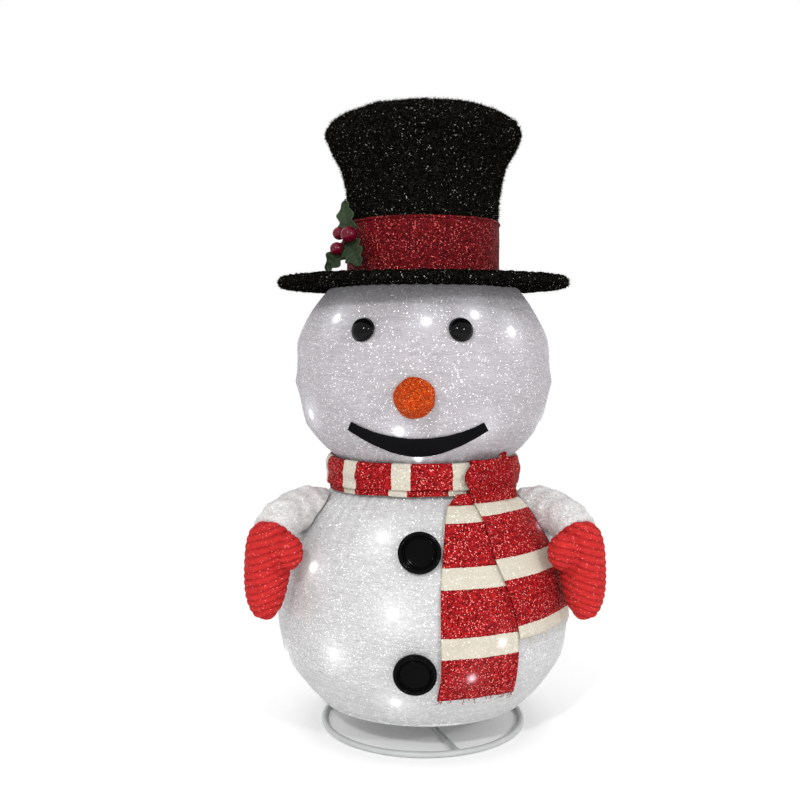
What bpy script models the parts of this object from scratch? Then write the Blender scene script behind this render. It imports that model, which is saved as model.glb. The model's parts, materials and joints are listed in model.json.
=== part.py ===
"""Collapsible, lit snowman: fabric skins over wire hoops on a telescopic pole and a wire floor ring.

Metres, +Z up. The figure faces -Y and its own left arm is on +X. The origin is on the floor, on the
pole's axis. Azimuths are measured from the front (-Y) towards +X.
"""

import math

import bmesh
import bpy
from mathutils import Matrix, Vector

# Driving dimensions: the heights of the four welded frames, and the largest radii
BOTTOM_Z = 0.029
NECK_Z = 0.250
BRIM_Z = 0.4315
CROWN_Z = 0.580
TORSO_RADIUS = 0.146
HEAD_RADIUS = 0.127
BRIM_RADIUS = 0.1425
NECK_RADIUS = 0.0575

GAP = 0.0003  # between pieces that touch
SKIN = 0.0012  # the cloth's thickness
WIRE = 0.0015  # a hoop's radius in section
SEGMENTS = 28
FLATS = math.cos(math.pi / SEGMENTS)  # a faceted circle's flats over its corners

# Torso and head: full-bodied ellipses, (height of the widest point, half height below, half height above)
FULLNESS = 2.2
TORSO_SHAPE = (0.120, 0.118, 0.142)
HEAD_SHAPE = (0.352, 0.110, 0.110)

# Crown wall, bottom to top: it runs nearly straight past the band, then flares
CROWN_WALL = ((0.0742, 0.4445), (0.0734, 0.4950), (0.0752, 0.5300), (0.0809, 0.5505), (0.0888, 0.5655),
              (0.0947, 0.5783))
CROWN_LID = ((0.0947, 0.5788), (0.0938, 0.5865), (0.0866, 0.5955), (0.0700, 0.6045), (0.0400, 0.6115))
CROWN_TOP_Z = 0.6145
CROWN_CLOTH = 0.0020
BAND = ((0.0747, 0.4460), (0.0739, 0.4965))
BAND_CLOTH = 0.0014
BRIM_BORE = 0.0158
BRIM_CLOTH = 0.0026
BRIM_DEPTH = 0.0122

# Holly: where its leaves meet and where they point, then (azimuth, radius from the axis, height, berry radius)
HOLLY_HEART = (-54, 0.0790, 0.4740)
HOLLY_TIPS = ((-60, 0.0800, 0.5165), (-68, 0.0990, 0.4505), (-38, 0.0820, 0.4510))
LEAF_HALF_WIDTH = 0.0095
LEAF_THICKNESS = 0.0012
BERRIES = ((-50, 0.0920, 0.4805, 0.0078), (-58, 0.0900, 0.4855, 0.0056), (-60, 0.0970, 0.4702, 0.0062))

# Base
RING_RADIUS = 0.0994
RING_WIRE = 0.003
RING_Z = RING_WIRE * math.cos(math.pi / 8)  # the eight-sided wire lies on a flat
BAR_AZIMUTH = 18
SOCKET_BORE = 0.0083
SOCKET_RADIUS = 0.0105
SOCKET_Z = (2 * RING_Z + GAP, 0.0268)

# Telescopic pole: (outer radius, inner radius, lower end, upper end)
LOWER_POLE = (0.0080, 0.0070, 0.0062, 0.210)
MID_POLE = (0.0066, 0.0056, 0.145, 0.376)
TIP_POLE = (0.0052, 0.0042, 0.310, 0.5782)
BUSH_HEIGHT = 0.012
BUSH_OVERLAP = 0.008
EYE_BORE = 0.0112

# Wire hoops that only the skins hold
TORSO_HOOPS = {"low": 0.080, "mid": 0.127, "high": 0.174}
HEAD_HOOPS = {"low": 0.300, "mid": 0.342, "high": 0.380}
LED_WIRE = 0.0007
BULBS_PER_LOOP = 6

# Face and buttons, on the skins. The face sits a little to the figure's right on its cloth
EYES_MIDDLE_X = -0.0125
EYE_X = 0.0428  # from the middle
EYE_Z = 0.391
EYE_BALL = 0.0112
NOSE_X = -0.0100
NOSE_Z = 0.3325
NOSE_RADIUS = 0.0205
NOSE_LENGTH = 0.036
BUTTON_RADIUS = 0.0192
BUTTONS = {"upper": (-0.0057, 0.1947), "lower": (-0.0098, 0.0936)}  # x and height
MOUTH_AZIMUTH = -4.0  # of its middle
MOUTH_HALF_AZIMUTH = 31
MOUTH_MIDDLE_Z = 0.2869
MOUTH_RISE = 0.0188  # from the middle to the corners
MOUTH_HALF_HEIGHTS = (0.0082, 0.0032)  # in the middle and at the corners
FELT = 0.0015
SHANK = 0.0025
SHANK_LENGTH = 0.0065
WASHER = 0.0062
WASHER_GAP = 0.0025
WASHER_THICKNESS = 0.0014

# Battery box, upright behind the pole
BOX = Vector((0.038, 0.0205, 0.066))
BOX_BACK_Y = 0.0125
BOX_LOW_Z = 0.038
BOX_WALL = 0.0016
CELL_RADIUS = 0.0071
CELL_LENGTH = 0.0500
SWITCH_Z = 0.090

# Arms: the clearance at the seam, the sleeve's centre line and the mitten (x is for the +X arm)
SEAM_GAP = 0.0006
SLEEVE = ((0.095, -0.020, 0.208), (0.114, -0.034, 0.2195), (0.131, -0.056, 0.2205), (0.1380, -0.074, 0.2130),
          (0.1415, -0.083, 0.203))
SLEEVE_RADIUS = 0.0195
CUFF_GAP = 0.0010
MITTEN_GAP = 0.0036  # between a mitten and the torso
MITTEN = (((0.1392, -0.0785, 0.2090), 0.0224), ((0.1428, -0.0865, 0.1950), 0.0222),
          ((0.1446, -0.0905, 0.1760), 0.0215), ((0.1460, -0.0920, 0.1550), 0.0200),
          ((0.1470, -0.0915, 0.1380), 0.0160), ((0.1475, -0.0905, 0.1270), 0.0080))
THUMB_CENTRE = (0.1240, -0.1025, 0.1905)
THUMB_SIZE = (0.0140, 0.0140, 0.0185)

# Scarf: the collar's section as (radius, height), the knot as (height, first azimuth, last azimuth, radius),
# and the tails' side edges as (height, first azimuth, last azimuth)
COLLAR = ((0.0870, 0.2400), (0.0790, 0.2450), (0.0805, 0.2580), (0.0865, 0.2630), (0.0925, 0.2680),
          (0.0955, 0.2705), (0.0972, 0.2660), (0.0965, 0.2520), (0.0930, 0.2395))
KNOT = ((0.2745, 24, 52, 0.0988), (0.2680, 23, 55, 0.0990), (0.2540, 22, 57, 0.0990), (0.2410, 22, 58, 0.0980))
KNOT_CLOTH = 0.0050
FRONT_TAIL = ((0.2360, 12, 28), (0.2200, 9, 29), (0.2050, 7, 30), (0.1750, 5, 31.5), (0.1450, 4.4, 33),
              (0.1150, 4.5, 34), (0.0900, 4.6, 34.5), (0.0665, 3.8, 35))
SIDE_TAIL = ((0.2370, 22.5, 46), (0.2200, 25, 49), (0.2000, 29, 55), (0.1750, 31, 58.5), (0.1500, 32.5, 61),
             (0.1270, 34.4, 63))
TAIL_CLOTH = 0.0014
FRONT_TAIL_LIFT = 0.0006
SIDE_TAIL_LIFT = 0.0026  # it lies over the front tail

COLOURS = {
    "skin_fabric": ((0.86, 0.86, 0.89), 0.55, 0.0),
    "hat_fabric": ((0.015, 0.015, 0.016), 0.75, 0.0),
    "band_fabric": ((0.50, 0.02, 0.04), 0.45, 0.1),
    "scarf_fabric": ((0.55, 0.03, 0.04), 0.50, 0.1),
    "mitten_knit": ((0.76, 0.05, 0.05), 0.70, 0.0),
    "nose_fabric": ((0.90, 0.20, 0.02), 0.60, 0.0),
    "felt": ((0.01, 0.01, 0.01), 0.95, 0.0),
    "black_plastic": ((0.01, 0.01, 0.01), 0.15, 0.0),
    "white_plastic": ((0.80, 0.80, 0.80), 0.40, 0.0),
    "white_enamel": ((0.74, 0.75, 0.75), 0.35, 0.0),
    "steel_wire": ((0.60, 0.60, 0.62), 0.35, 1.0),
    "clear_lead": ((0.75, 0.76, 0.72), 0.25, 0.0),
    "leaf_plastic": ((0.04, 0.12, 0.04), 0.45, 0.0),
    "berry_plastic": ((0.42, 0.01, 0.04), 0.20, 0.0),
    "cell_label": ((0.10, 0.25, 0.50), 0.35, 0.2),
}


# ---------------------------------------------------------------- helpers

def clear_scene():
    for obj in list(bpy.data.objects):
        bpy.data.objects.remove(obj)


def material(name):
    found = bpy.data.materials.get(name)
    if found:
        return found
    colour, roughness, metallic = COLOURS[name]
    made = bpy.data.materials.new(name)
    made.use_nodes = True
    shader = made.node_tree.nodes["Principled BSDF"]
    shader.inputs["Base Color"].default_value = (*colour, 1)
    shader.inputs["Roughness"].default_value = roughness
    shader.inputs["Metallic"].default_value = metallic
    return made


def object_of(name, bm, material_name):
    """An object from a bmesh, welded, facing out and shaded smooth up to 40 degree edges."""
    bmesh.ops.remove_doubles(bm, verts=bm.verts, dist=1e-6)
    bmesh.ops.recalc_face_normals(bm, faces=bm.faces)
    mesh = bpy.data.meshes.new(name)
    bm.to_mesh(mesh)
    bm.free()
    mesh.materials.append(material(material_name))
    mesh.shade_smooth()
    mesh.set_sharp_from_angle(angle=math.radians(40))
    obj = bpy.data.objects.new(name, mesh)
    bpy.context.scene.collection.objects.link(obj)
    return obj


def boolean(base, others, operation):
    """Joins the others to the base, or cuts them from it, and removes them."""
    for other in others:
        modifier = base.modifiers.new(operation.lower(), "BOOLEAN")
        modifier.operation = operation
        modifier.solver = "EXACT"
        modifier.object = other
    graph = bpy.context.evaluated_depsgraph_get()
    result = bpy.data.meshes.new_from_object(base.evaluated_get(graph))
    base.modifiers.clear()
    base.data = result
    for other in others:
        bpy.data.objects.remove(other)
    return base


def turned(name, outline, material_name, segments=SEGMENTS):
    """A solid of revolution about Z. An outline that starts and ends on the axis is left open there."""
    bm = bmesh.new()
    verts = [bm.verts.new((r, 0, z)) for r, z in outline]
    edges = [bm.edges.new(pair) for pair in zip(verts, verts[1:])]
    if outline[0][0] > 0:
        edges.append(bm.edges.new((verts[-1], verts[0])))
    bmesh.ops.spin(bm, geom=verts + edges, axis=(0, 0, 1), cent=(0, 0, 0), angle=math.tau,
                   steps=segments, use_merge=True, use_duplicate=False)
    return object_of(name, bm, material_name)


def circle(radius, centre, sides, phase=0.0):
    return [(centre[0] + radius * math.cos(math.tau * (i + phase) / sides),
             centre[1] + radius * math.sin(math.tau * (i + phase) / sides)) for i in range(sides)]


def hoop(name, radius, z, wire, material_name, sides=5, phase=0.0):
    return turned(name, circle(wire, (radius, z), sides, phase), material_name)


def rod(name, start, end, radius, material_name, sides=8, phase=0.0):
    """A straight round rod between two points. Half a step of phase puts a flat underneath."""
    start, end = Vector(start), Vector(end)
    along = end - start
    bm = bmesh.new()
    bmesh.ops.create_cone(bm, cap_ends=True, segments=sides, radius1=radius, radius2=radius,
                          depth=along.length)
    turn = along.to_track_quat("Z", "Y").to_matrix().to_4x4()
    turn = turn @ Matrix.Rotation(math.tau * phase / sides, 4, "Z")
    bmesh.ops.transform(bm, verts=bm.verts, matrix=Matrix.Translation((start + end) / 2) @ turn)
    return object_of(name, bm, material_name)


def tube(name, outer, inner, low, high, material_name, segments=16):
    return turned(name, [(outer, low), (outer, high), (inner, high), (inner, low)], material_name, segments)


def block(name, low, high, material_name):
    bm = bmesh.new()
    bmesh.ops.create_cube(bm, size=1)
    low, high = Vector(low), Vector(high)
    bmesh.ops.scale(bm, verts=bm.verts, vec=high - low)
    bmesh.ops.translate(bm, verts=bm.verts, vec=(low + high) / 2)
    return object_of(name, bm, material_name)


def ellipsoid(name, centre, size, material_name, segments=14, rings=8):
    bm = bmesh.new()
    bmesh.ops.create_uvsphere(bm, u_segments=segments, v_segments=rings, radius=1)
    bmesh.ops.scale(bm, verts=bm.verts, vec=size)
    bmesh.ops.translate(bm, verts=bm.verts, vec=centre)
    return object_of(name, bm, material_name)


def around(azimuth, radius, z):
    """The point at an azimuth in degrees from the front."""
    a = math.radians(azimuth)
    return Vector((radius * math.sin(a), -radius * math.cos(a), z))


# ---------------------------------------------------------------- skin profiles

def bulge(z, widest, shape):
    middle, below, above = shape
    share = abs(z - middle) / (above if z > middle else below)
    return widest * (1 - share ** FULLNESS) ** (1 / FULLNESS)


def torso_radius(z):
    return bulge(z, TORSO_RADIUS, TORSO_SHAPE)


def head_radius(z):
    return bulge(z, HEAD_RADIUS, HEAD_SHAPE)


def slope(radius_at, z, step=1e-5):
    return (radius_at(z + step) - radius_at(z - step)) / (2 * step)


def stretch(radius_at, z):
    """Radial distance per unit of distance square to the skin."""
    return math.hypot(1, slope(radius_at, z))


def inside(radius_at, z, depth):
    """Radius of a hoop or thread that lies depth under the skin's outer face."""
    return radius_at(z) - depth * stretch(radius_at, z)


def heights(stops, steps):
    """Heights from the first stop to the last, with the same number of steps between stops."""
    return [a + (b - a) * i / steps for a, b in zip(stops, stops[1:]) for i in range(steps)] + [stops[-1]]


def offset_outline(radius_at, levels, distance):
    """The profile's points, moved square to it by distance (positive is outward)."""
    points = []
    for z in levels:
        gradient = slope(radius_at, z)
        length = math.hypot(1, gradient)
        points.append((radius_at(z) + distance / length, z - distance * gradient / length))
    return points


def skin_shell(name, radius_at, low, hoop_heights, high, material_name):
    """An open-ended skin, with a row of corners at every hoop."""
    levels = heights([low, *hoop_heights, high], 4)
    outer = offset_outline(radius_at, levels, 0)
    inner = offset_outline(radius_at, levels, -SKIN)
    return turned(name, outer + inner[::-1], material_name)


def surface_frame(radius_at, x, z, lift):
    """A matrix at a point on a skin's front, with Z along the outward normal and Y up the skin."""
    radius = radius_at(z)
    out = Vector((x, -math.sqrt(radius * radius - x * x), 0)) / radius
    normal = (out - Vector((0, 0, slope(radius_at, z)))).normalized()
    across = Vector((0, 0, 1)).cross(normal).normalized()
    turn = Matrix((across, normal.cross(across), normal)).transposed().to_4x4()
    return Matrix.Translation(out * radius + Vector((0, 0, z)) + normal * lift) @ turn


def place(obj, frame):
    obj.matrix_world = frame
    return obj


def draped(name, rows, thickness, columns, material_name):
    """A strip of cloth round the axis. Each row is (height, first azimuth, last azimuth, inner radius)."""
    bm = bmesh.new()
    layers = []
    for extra in (0, thickness):
        grid = []
        for z, first, last, radius in rows:
            steps = [first + (last - first) * i / (columns - 1) for i in range(columns)]
            grid.append([bm.verts.new(around(a, radius + extra, z)) for a in steps])
        layers.append(grid)
    inner, outer = layers
    for grid in layers:
        for upper, lower in zip(grid, grid[1:]):
            for i in range(columns - 1):
                bm.faces.new((upper[i], upper[i + 1], lower[i + 1], lower[i]))
    last_row, last_column = len(rows) - 1, columns - 1
    border = [(0, i) for i in range(columns)]
    border += [(r, last_column) for r in range(1, last_row + 1)]
    border += [(last_row, i) for i in range(last_column - 1, -1, -1)]
    border += [(r, 0) for r in range(last_row - 1, 0, -1)]
    for (r0, c0), (r1, c1) in zip(border, border[1:] + border[:1]):
        bm.faces.new((inner[r0][c0], inner[r1][c1], outer[r1][c1], outer[r0][c0]))
    return object_of(name, bm, material_name)


def swept(name, path, radii, sides, material_name):
    """A closed tube through the points of a path, with a radius for each point and flat ends."""
    bm = bmesh.new()
    points = [Vector(p) for p in path]
    loops = []
    side = Vector((0.3, 1, 0))
    for i, point in enumerate(points):
        along = (points[min(i + 1, len(points) - 1)] - points[max(i - 1, 0)]).normalized()
        side = (side - along * side.dot(along)).normalized()
        up = along.cross(side)
        loops.append([bm.verts.new(point + side * x + up * y) for x, y in circle(radii[i], (0, 0), sides)])
    for first, second in zip(loops, loops[1:]):
        for i in range(sides):
            j = (i + 1) % sides
            bm.faces.new((first[i], first[j], second[j], second[i]))
    bm.faces.new(loops[0][::-1])
    bm.faces.new(loops[-1])
    return object_of(name, bm, material_name)


# ---------------------------------------------------------------- base and pole

def base_stand():
    hoop("base_ring", RING_RADIUS, RING_Z, RING_WIRE, "white_enamel", 8, 0.5)
    reach = (RING_RADIUS - RING_Z) * FLATS - GAP
    rod("base_bar", around(BAR_AZIMUTH, reach, RING_Z), around(BAR_AZIMUTH + 180, reach, RING_Z), RING_WIRE,
        "white_enamel", 8, 0.5)
    tube("pole_socket", SOCKET_RADIUS, SOCKET_BORE, *SOCKET_Z, "white_enamel")


def pole():
    for name, (outer, inner, low, high) in (("lower_pole", LOWER_POLE), ("mid_pole", MID_POLE),
                                            ("tip_pole", TIP_POLE)):
        tube(name, outer, inner, low, high, "white_enamel")
    for name, outer_pole, inner_pole in (("lower_pole_bush", LOWER_POLE, MID_POLE),
                                         ("mid_pole_bush", MID_POLE, TIP_POLE)):
        bush(name, outer_pole, inner_pole)


def bush(name, outer_pole, inner_pole):
    """A collar over an outer tube's mouth, whose lip guides the inner tube."""
    top = outer_pole[3]
    grip = outer_pole[0] + GAP
    lip = inner_pole[0] + GAP
    outside = outer_pole[0] + 0.0020
    low, high = top - BUSH_OVERLAP, top - BUSH_OVERLAP + BUSH_HEIGHT
    shoulder = top + GAP
    outline = [(grip, low), (outside, low), (outside, high), (lip, high), (lip, shoulder), (grip, shoulder)]
    turned(name, outline, "black_plastic", 16)


def welded_frame(name, radius, z, wire, bore, spokes=3, first_azimuth=30):
    """A hoop, its spokes and the eye round the pole, welded into one piece."""
    frame = hoop(name, radius, z, wire, "steel_wire")
    centre = tube("eye", bore + 0.0028, bore, z - wire, z + wire, "steel_wire")
    arms = []
    for i in range(spokes):
        azimuth = first_azimuth + 360 * i / spokes
        arms.append(rod("spoke", around(azimuth, bore + 0.0014, z), around(azimuth, radius, z),
                        wire * 0.8, "steel_wire", sides=6))
    return boolean(frame, [centre] + arms, "UNION")


def frames():
    fixed_bore = LOWER_POLE[0] + GAP
    bottom_radius = inside(torso_radius, BOTTOM_Z, 0.0060)
    brim_radius = inside(head_radius, BRIM_Z, 0.0035)
    welded_frame("bottom_frame", bottom_radius, BOTTOM_Z, 0.0018, fixed_bore)
    welded_frame("neck_frame", NECK_RADIUS, NECK_Z, WIRE, EYE_BORE)
    welded_frame("brim_frame", brim_radius, BRIM_Z, WIRE, EYE_BORE)
    welded_frame("crown_frame", 0.0905, CROWN_Z, WIRE, TIP_POLE[0] - 0.0004)


def hoops():
    for section, radius_at, levels in (("torso", torso_radius, TORSO_HOOPS), ("head", head_radius, HEAD_HOOPS)):
        for level, z in levels.items():
            hoop(f"{section}_hoop_{level}", inside(radius_at, z, SKIN + GAP + WIRE), z, WIRE, "steel_wire")


# ---------------------------------------------------------------- lights and battery box

def led_loop(name, radius_at, z, turn):
    """A loop of thin lead tied inside a hoop, with bulbs spaced along it."""
    radius = inside(radius_at, z, SKIN + 2 * GAP + 2 * WIRE + LED_WIRE)
    loop = hoop(name, radius, z, LED_WIRE, "clear_lead", sides=4)
    bulbs = []
    for i in range(BULBS_PER_LOOP):
        azimuth = turn + 360 * i / BULBS_PER_LOOP
        bulbs.append(rod("bulb", around(azimuth, radius - 0.0062, z), around(azimuth, radius + 0.0002, z),
                         0.0018, "clear_lead", sides=5))
    return boolean(loop, bulbs, "UNION")


def lead(name, points, radius=LED_WIRE):
    """A thin two-core lead along a smooth curve through the points."""
    curve = bpy.data.curves.new(name, "CURVE")
    curve.dimensions = "3D"
    curve.bevel_depth = radius
    curve.bevel_resolution = 1
    curve.use_fill_caps = True
    curve.materials.append(material("clear_lead"))
    spline = curve.splines.new("POLY")
    route = smooth_route(points)
    spline.points.add(len(route) - 1)
    for point, at in zip(spline.points, route):
        point.co = (*at, 1)
    obj = bpy.data.objects.new(name, curve)
    bpy.context.scene.collection.objects.link(obj)
    return obj


def smooth_route(points, steps=3):
    """Catmull-Rom points between the given ones."""
    p = [Vector(q) for q in points]
    p = [2 * p[0] - p[1]] + p + [2 * p[-1] - p[-2]]
    route = []
    for a, b, c, d in zip(p, p[1:], p[2:], p[3:]):
        for i in range(steps):
            t = i / steps
            route.append(0.5 * (2 * b + (c - a) * t + (2 * a - 5 * b + 4 * c - d) * t * t
                                + (3 * b - a - 3 * c + d) * t ** 3))
    return route + [p[-2]]


def lights():
    for turn, level in enumerate(("low", "mid", "high")):
        led_loop(f"torso_led_loop_{level}", torso_radius, TORSO_HOOPS[level], 7 + 15 * turn)
    for turn, level in enumerate(("low", "high")):
        led_loop(f"head_led_loop_{level}", head_radius, HEAD_HOOPS[level], 4 + 22 * turn)
    top = BOX_LOW_Z + BOX.z
    lead("torso_lead", [(0, 0.022, top + GAP), (0, 0.024, top + 0.006), (0, 0.045, 0.118), (0, 0.090, 0.118),
                        (0, 0.121, 0.133), (0, 0.122, 0.150), (0, 0.110, 0.180), (0, 0.084, 0.207),
                        (0, 0.056, 0.236), (0, 0.048, 0.2465)])
    lead("head_lead", [(0, 0.048, 0.2535), (0, 0.056, 0.268), (0, 0.088, 0.290), (0, 0.107, 0.318),
                       (0, 0.111, 0.345), (0, 0.106, 0.372)])


def battery_box():
    """An open-backed case for two cells, clipped to the pole, with a lid that slides off sideways."""
    low = Vector((-BOX.x / 2, BOX_BACK_Y, BOX_LOW_Z))
    high = low + BOX
    case = block("battery_box", low, high, "white_plastic")
    cavity = block("cavity", low + Vector((BOX_WALL, BOX_WALL, BOX_WALL)),
                   high + Vector((-BOX_WALL, 0.01, -BOX_WALL)), "white_plastic")
    slot = block("slot", (BOX.x / 2 - 0.0022, low.y + 0.0065, SWITCH_Z - 0.0065),
                 (BOX.x / 2 + 0.01, low.y + 0.0125, SWITCH_Z + 0.0035), "white_plastic")
    boolean(case, [cavity, slot], "DIFFERENCE")
    clip = tube("clip", 0.0110, LOWER_POLE[0] + GAP, BOX_LOW_Z + 0.030, BOX_LOW_Z + 0.042, "white_plastic")
    neck = block("neck", (-0.004, 0.0095, BOX_LOW_Z + 0.030), (0.004, low.y + 0.0008, BOX_LOW_Z + 0.042),
                 "white_plastic")
    boolean(case, [clip, neck], "UNION")
    lid_low = (low.x, high.y + GAP, low.z)
    block("battery_lid", lid_low, (high.x, high.y + GAP + BOX_WALL, high.z), "white_plastic")
    cell_y = BOX_BACK_Y + 0.0098
    foot = BOX_LOW_Z + (BOX.z - CELL_LENGTH) / 2
    for number, side in ((1, -1), (2, 1)):
        x = side * (CELL_RADIUS + GAP)
        rod(f"battery_cell_{number}", (x, cell_y, foot), (x, cell_y, foot + CELL_LENGTH), CELL_RADIUS,
            "cell_label", sides=12)
    block("power_switch", (BOX.x / 2 - 0.0018, low.y + 0.0070, SWITCH_Z - 0.0060),
          (BOX.x / 2 + 0.0016, low.y + 0.0120, SWITCH_Z - 0.0005), "black_plastic")


# ---------------------------------------------------------------- torso and head

def torso():
    skin = skin_shell("torso_skin", torso_radius, BOTTOM_Z + 0.0015, TORSO_HOOPS.values(), NECK_Z - 0.0015,
                      "skin_fabric")
    holes = []
    for name, (x, z) in BUTTONS.items():
        frame = surface_frame(torso_radius, x, z, GAP)
        place(button(f"{name}_button"), frame)
        place(washer(f"{name}_button_washer"), frame)
        holes.append(place(shank_hole(), frame))
    bpy.context.view_layer.update()
    boolean(skin, holes, "DIFFERENCE")


def head():
    skin = skin_shell("head_skin", head_radius, NECK_Z + 0.0015, HEAD_HOOPS.values(), BRIM_Z + 0.0010,
                      "skin_fabric")
    holes = []
    for side, x in (("right", -EYE_X), ("left", EYE_X)):
        frame = surface_frame(head_radius, EYES_MIDDLE_X + x, EYE_Z, GAP)
        place(eye(f"{side}_eye"), frame)
        place(washer(f"{side}_eye_washer"), frame)
        holes.append(place(shank_hole(), frame))
    bpy.context.view_layer.update()
    boolean(skin, holes, "DIFFERENCE")
    nose()
    mouth()


def button(name):
    rim = BUTTON_RADIUS
    outline = [(0, -SHANK_LENGTH), (SHANK, -SHANK_LENGTH), (SHANK, 0), (rim * 0.93, 0), (rim, 0.0016),
               (rim, 0.0045), (rim * 0.93, 0.0064), (rim * 0.82, 0.0064), (rim * 0.75, 0.0038), (0, 0.0038)]
    return turned(name, outline, "black_plastic", 18)


def eye(name):
    dome = [(EYE_BALL * math.cos(math.radians(a)), 0.0015 + 0.0075 * math.sin(math.radians(a)))
            for a in (0, 25, 50, 72)]
    outline = [(0, -SHANK_LENGTH), (SHANK, -SHANK_LENGTH), (SHANK, 0), (EYE_BALL, 0)] + dome + [(0, 0.0090)]
    return turned(name, outline, "black_plastic", 16)


def washer(name):
    """The toothed disc pushed on a shank, behind the skin."""
    face = -SKIN - WASHER_GAP
    bore = SHANK + GAP
    back = face - WASHER_THICKNESS
    outline = [(bore, back), (WASHER, back), (WASHER, face), (bore, face)]
    return turned(name, outline, "white_plastic", 12)


def shank_hole():
    return rod("hole", (0, 0, -0.006), (0, 0, 0.004), SHANK + GAP, "skin_fabric", sides=12)


def nose():
    """A stuffed, blunt cone sewn to the face, pointing forward."""
    frame = surface_frame(head_radius, NOSE_X, NOSE_Z, 0.0006)
    outline = [(0, 0), (NOSE_RADIUS * 0.93, 0)]
    for i in range(1, 8):
        share = i / 8
        taper = (1 - 0.5 * share) * math.cos(share * math.pi / 2) ** 0.4
        outline.append((NOSE_RADIUS * taper, NOSE_LENGTH * share))
    place(turned("nose", outline + [(0, NOSE_LENGTH)], "nose_fabric", 16), frame)


def mouth():
    """A crescent of felt on the face: it hangs lowest in the middle and is cut square at its ends."""
    columns = 15
    middle_half, corner_half = MOUTH_HALF_HEIGHTS
    bm = bmesh.new()
    layers = []
    for lift in (GAP * 2, GAP * 2 + FELT):
        edges = []
        for i in range(columns):
            share = 2 * i / (columns - 1) - 1
            middle = MOUTH_MIDDLE_Z + MOUTH_RISE * share * share
            half = middle_half + (corner_half - middle_half) * share * share
            edge = []
            for z in (middle - half, middle + half):
                radius = head_radius(z) + lift * stretch(head_radius, z)
                edge.append(bm.verts.new(around(MOUTH_AZIMUTH + MOUTH_HALF_AZIMUTH * share, radius, z)))
            edges.append(edge)
        layers.append(edges)
    back, front = layers
    for i in range(columns - 1):
        for edges in layers:
            bm.faces.new((edges[i][0], edges[i + 1][0], edges[i + 1][1], edges[i][1]))
        for k in (0, 1):
            bm.faces.new((back[i][k], back[i + 1][k], front[i + 1][k], front[i][k]))
    for i in (0, columns - 1):
        bm.faces.new((back[i][0], back[i][1], front[i][1], front[i][0]))
    object_of("mouth", bm, "felt")


# ---------------------------------------------------------------- arms

def torso_cutter(clearance):
    """The torso's outer form, grown by a clearance."""
    outline = offset_outline(torso_radius, heights([BOTTOM_Z, NECK_Z - 0.004], 16), clearance)
    return turned("torso_form", [(0, outline[0][1])] + outline + [(0, outline[-1][1])], "skin_fabric", 48)


def arms():
    for side, sign in (("left", 1), ("right", -1)):
        sleeve = swept(f"{side}_sleeve", [(sign * x, y, z) for x, y, z in SLEEVE],
                       [SLEEVE_RADIUS * 0.92] + [SLEEVE_RADIUS] * 3 + [SLEEVE_RADIUS * 0.95], 14, "skin_fabric")
        boolean(sleeve, [torso_cutter(SEAM_GAP)], "DIFFERENCE")
        mitten(side, sign)


def mitten(side, sign):
    """A stuffed mitten whose cuff goes over the sleeve's end, with its thumb towards the front."""
    hand = swept(f"{side}_mitten", [mirrored(point, sign) for point, _ in MITTEN], [r for _, r in MITTEN], 14,
                 "mitten_knit")
    thumb = ellipsoid("thumb", mirrored(THUMB_CENTRE, sign), THUMB_SIZE, "mitten_knit", 10, 6)
    boolean(hand, [thumb], "UNION")
    last = Vector(SLEEVE[-1])
    past_end = last + (last - Vector(SLEEVE[-2])).normalized() * CUFF_GAP
    room = [mirrored(point, sign) for point in SLEEVE[-3:-1] + (tuple(past_end),)]
    sleeve_space = swept("sleeve_space", room, [SLEEVE_RADIUS + CUFF_GAP] * 3, 14, "skin_fabric")
    boolean(hand, [sleeve_space, torso_cutter(MITTEN_GAP)], "DIFFERENCE")


def mirrored(point, sign):
    return (sign * point[0], point[1], point[2])


# ---------------------------------------------------------------- scarf

def scarf():
    turned("scarf_collar", COLLAR, "scarf_fabric")
    draped("scarf_knot", KNOT, KNOT_CLOTH, 6, "scarf_fabric")
    tail("scarf_front_tail", FRONT_TAIL, FRONT_TAIL_LIFT)
    tail("scarf_side_tail", SIDE_TAIL, SIDE_TAIL_LIFT)


def tail(name, edges, lift):
    """A scarf end on the torso, from its side edges at a few heights."""
    rows = []
    for upper, lower in zip(edges, edges[1:]):
        for share in (0, 0.5):
            rows.append([a + (b - a) * share for a, b in zip(upper, lower)])
    rows.append(edges[-1])
    laid = [(z, first, last, torso_radius(z) + lift * stretch(torso_radius, z)) for z, first, last in rows]
    draped(name, laid, TAIL_CLOTH, 5, "scarf_fabric")


# ---------------------------------------------------------------- hat

def hat():
    brim_layer("brim_underside", BRIM_Z + WIRE * 2)
    hoop("brim_hoop", BRIM_RADIUS - 0.0045, BRIM_Z + 0.0076, 0.0018, "steel_wire")
    brim_layer("brim_top", BRIM_Z + BRIM_DEPTH - BRIM_CLOTH)
    wall_inner = [(r - CROWN_CLOTH, z) for r, z in CROWN_WALL]
    turned("crown_wall", list(CROWN_WALL) + wall_inner[::-1], "hat_fabric")
    band_outer = [(r + BAND_CLOTH, z) for r, z in BAND]
    turned("hat_band", list(BAND) + band_outer[::-1], "band_fabric")
    crown_lid()


def brim_layer(name, low):
    """One cloth face of the brim."""
    high = low + BRIM_CLOTH
    edge = BRIM_RADIUS - 0.0010
    outline = [(BRIM_BORE, low), (edge, low), (BRIM_RADIUS, (low + high) / 2), (edge, high), (BRIM_BORE, high)]
    turned(name, outline, "hat_fabric")


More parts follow.
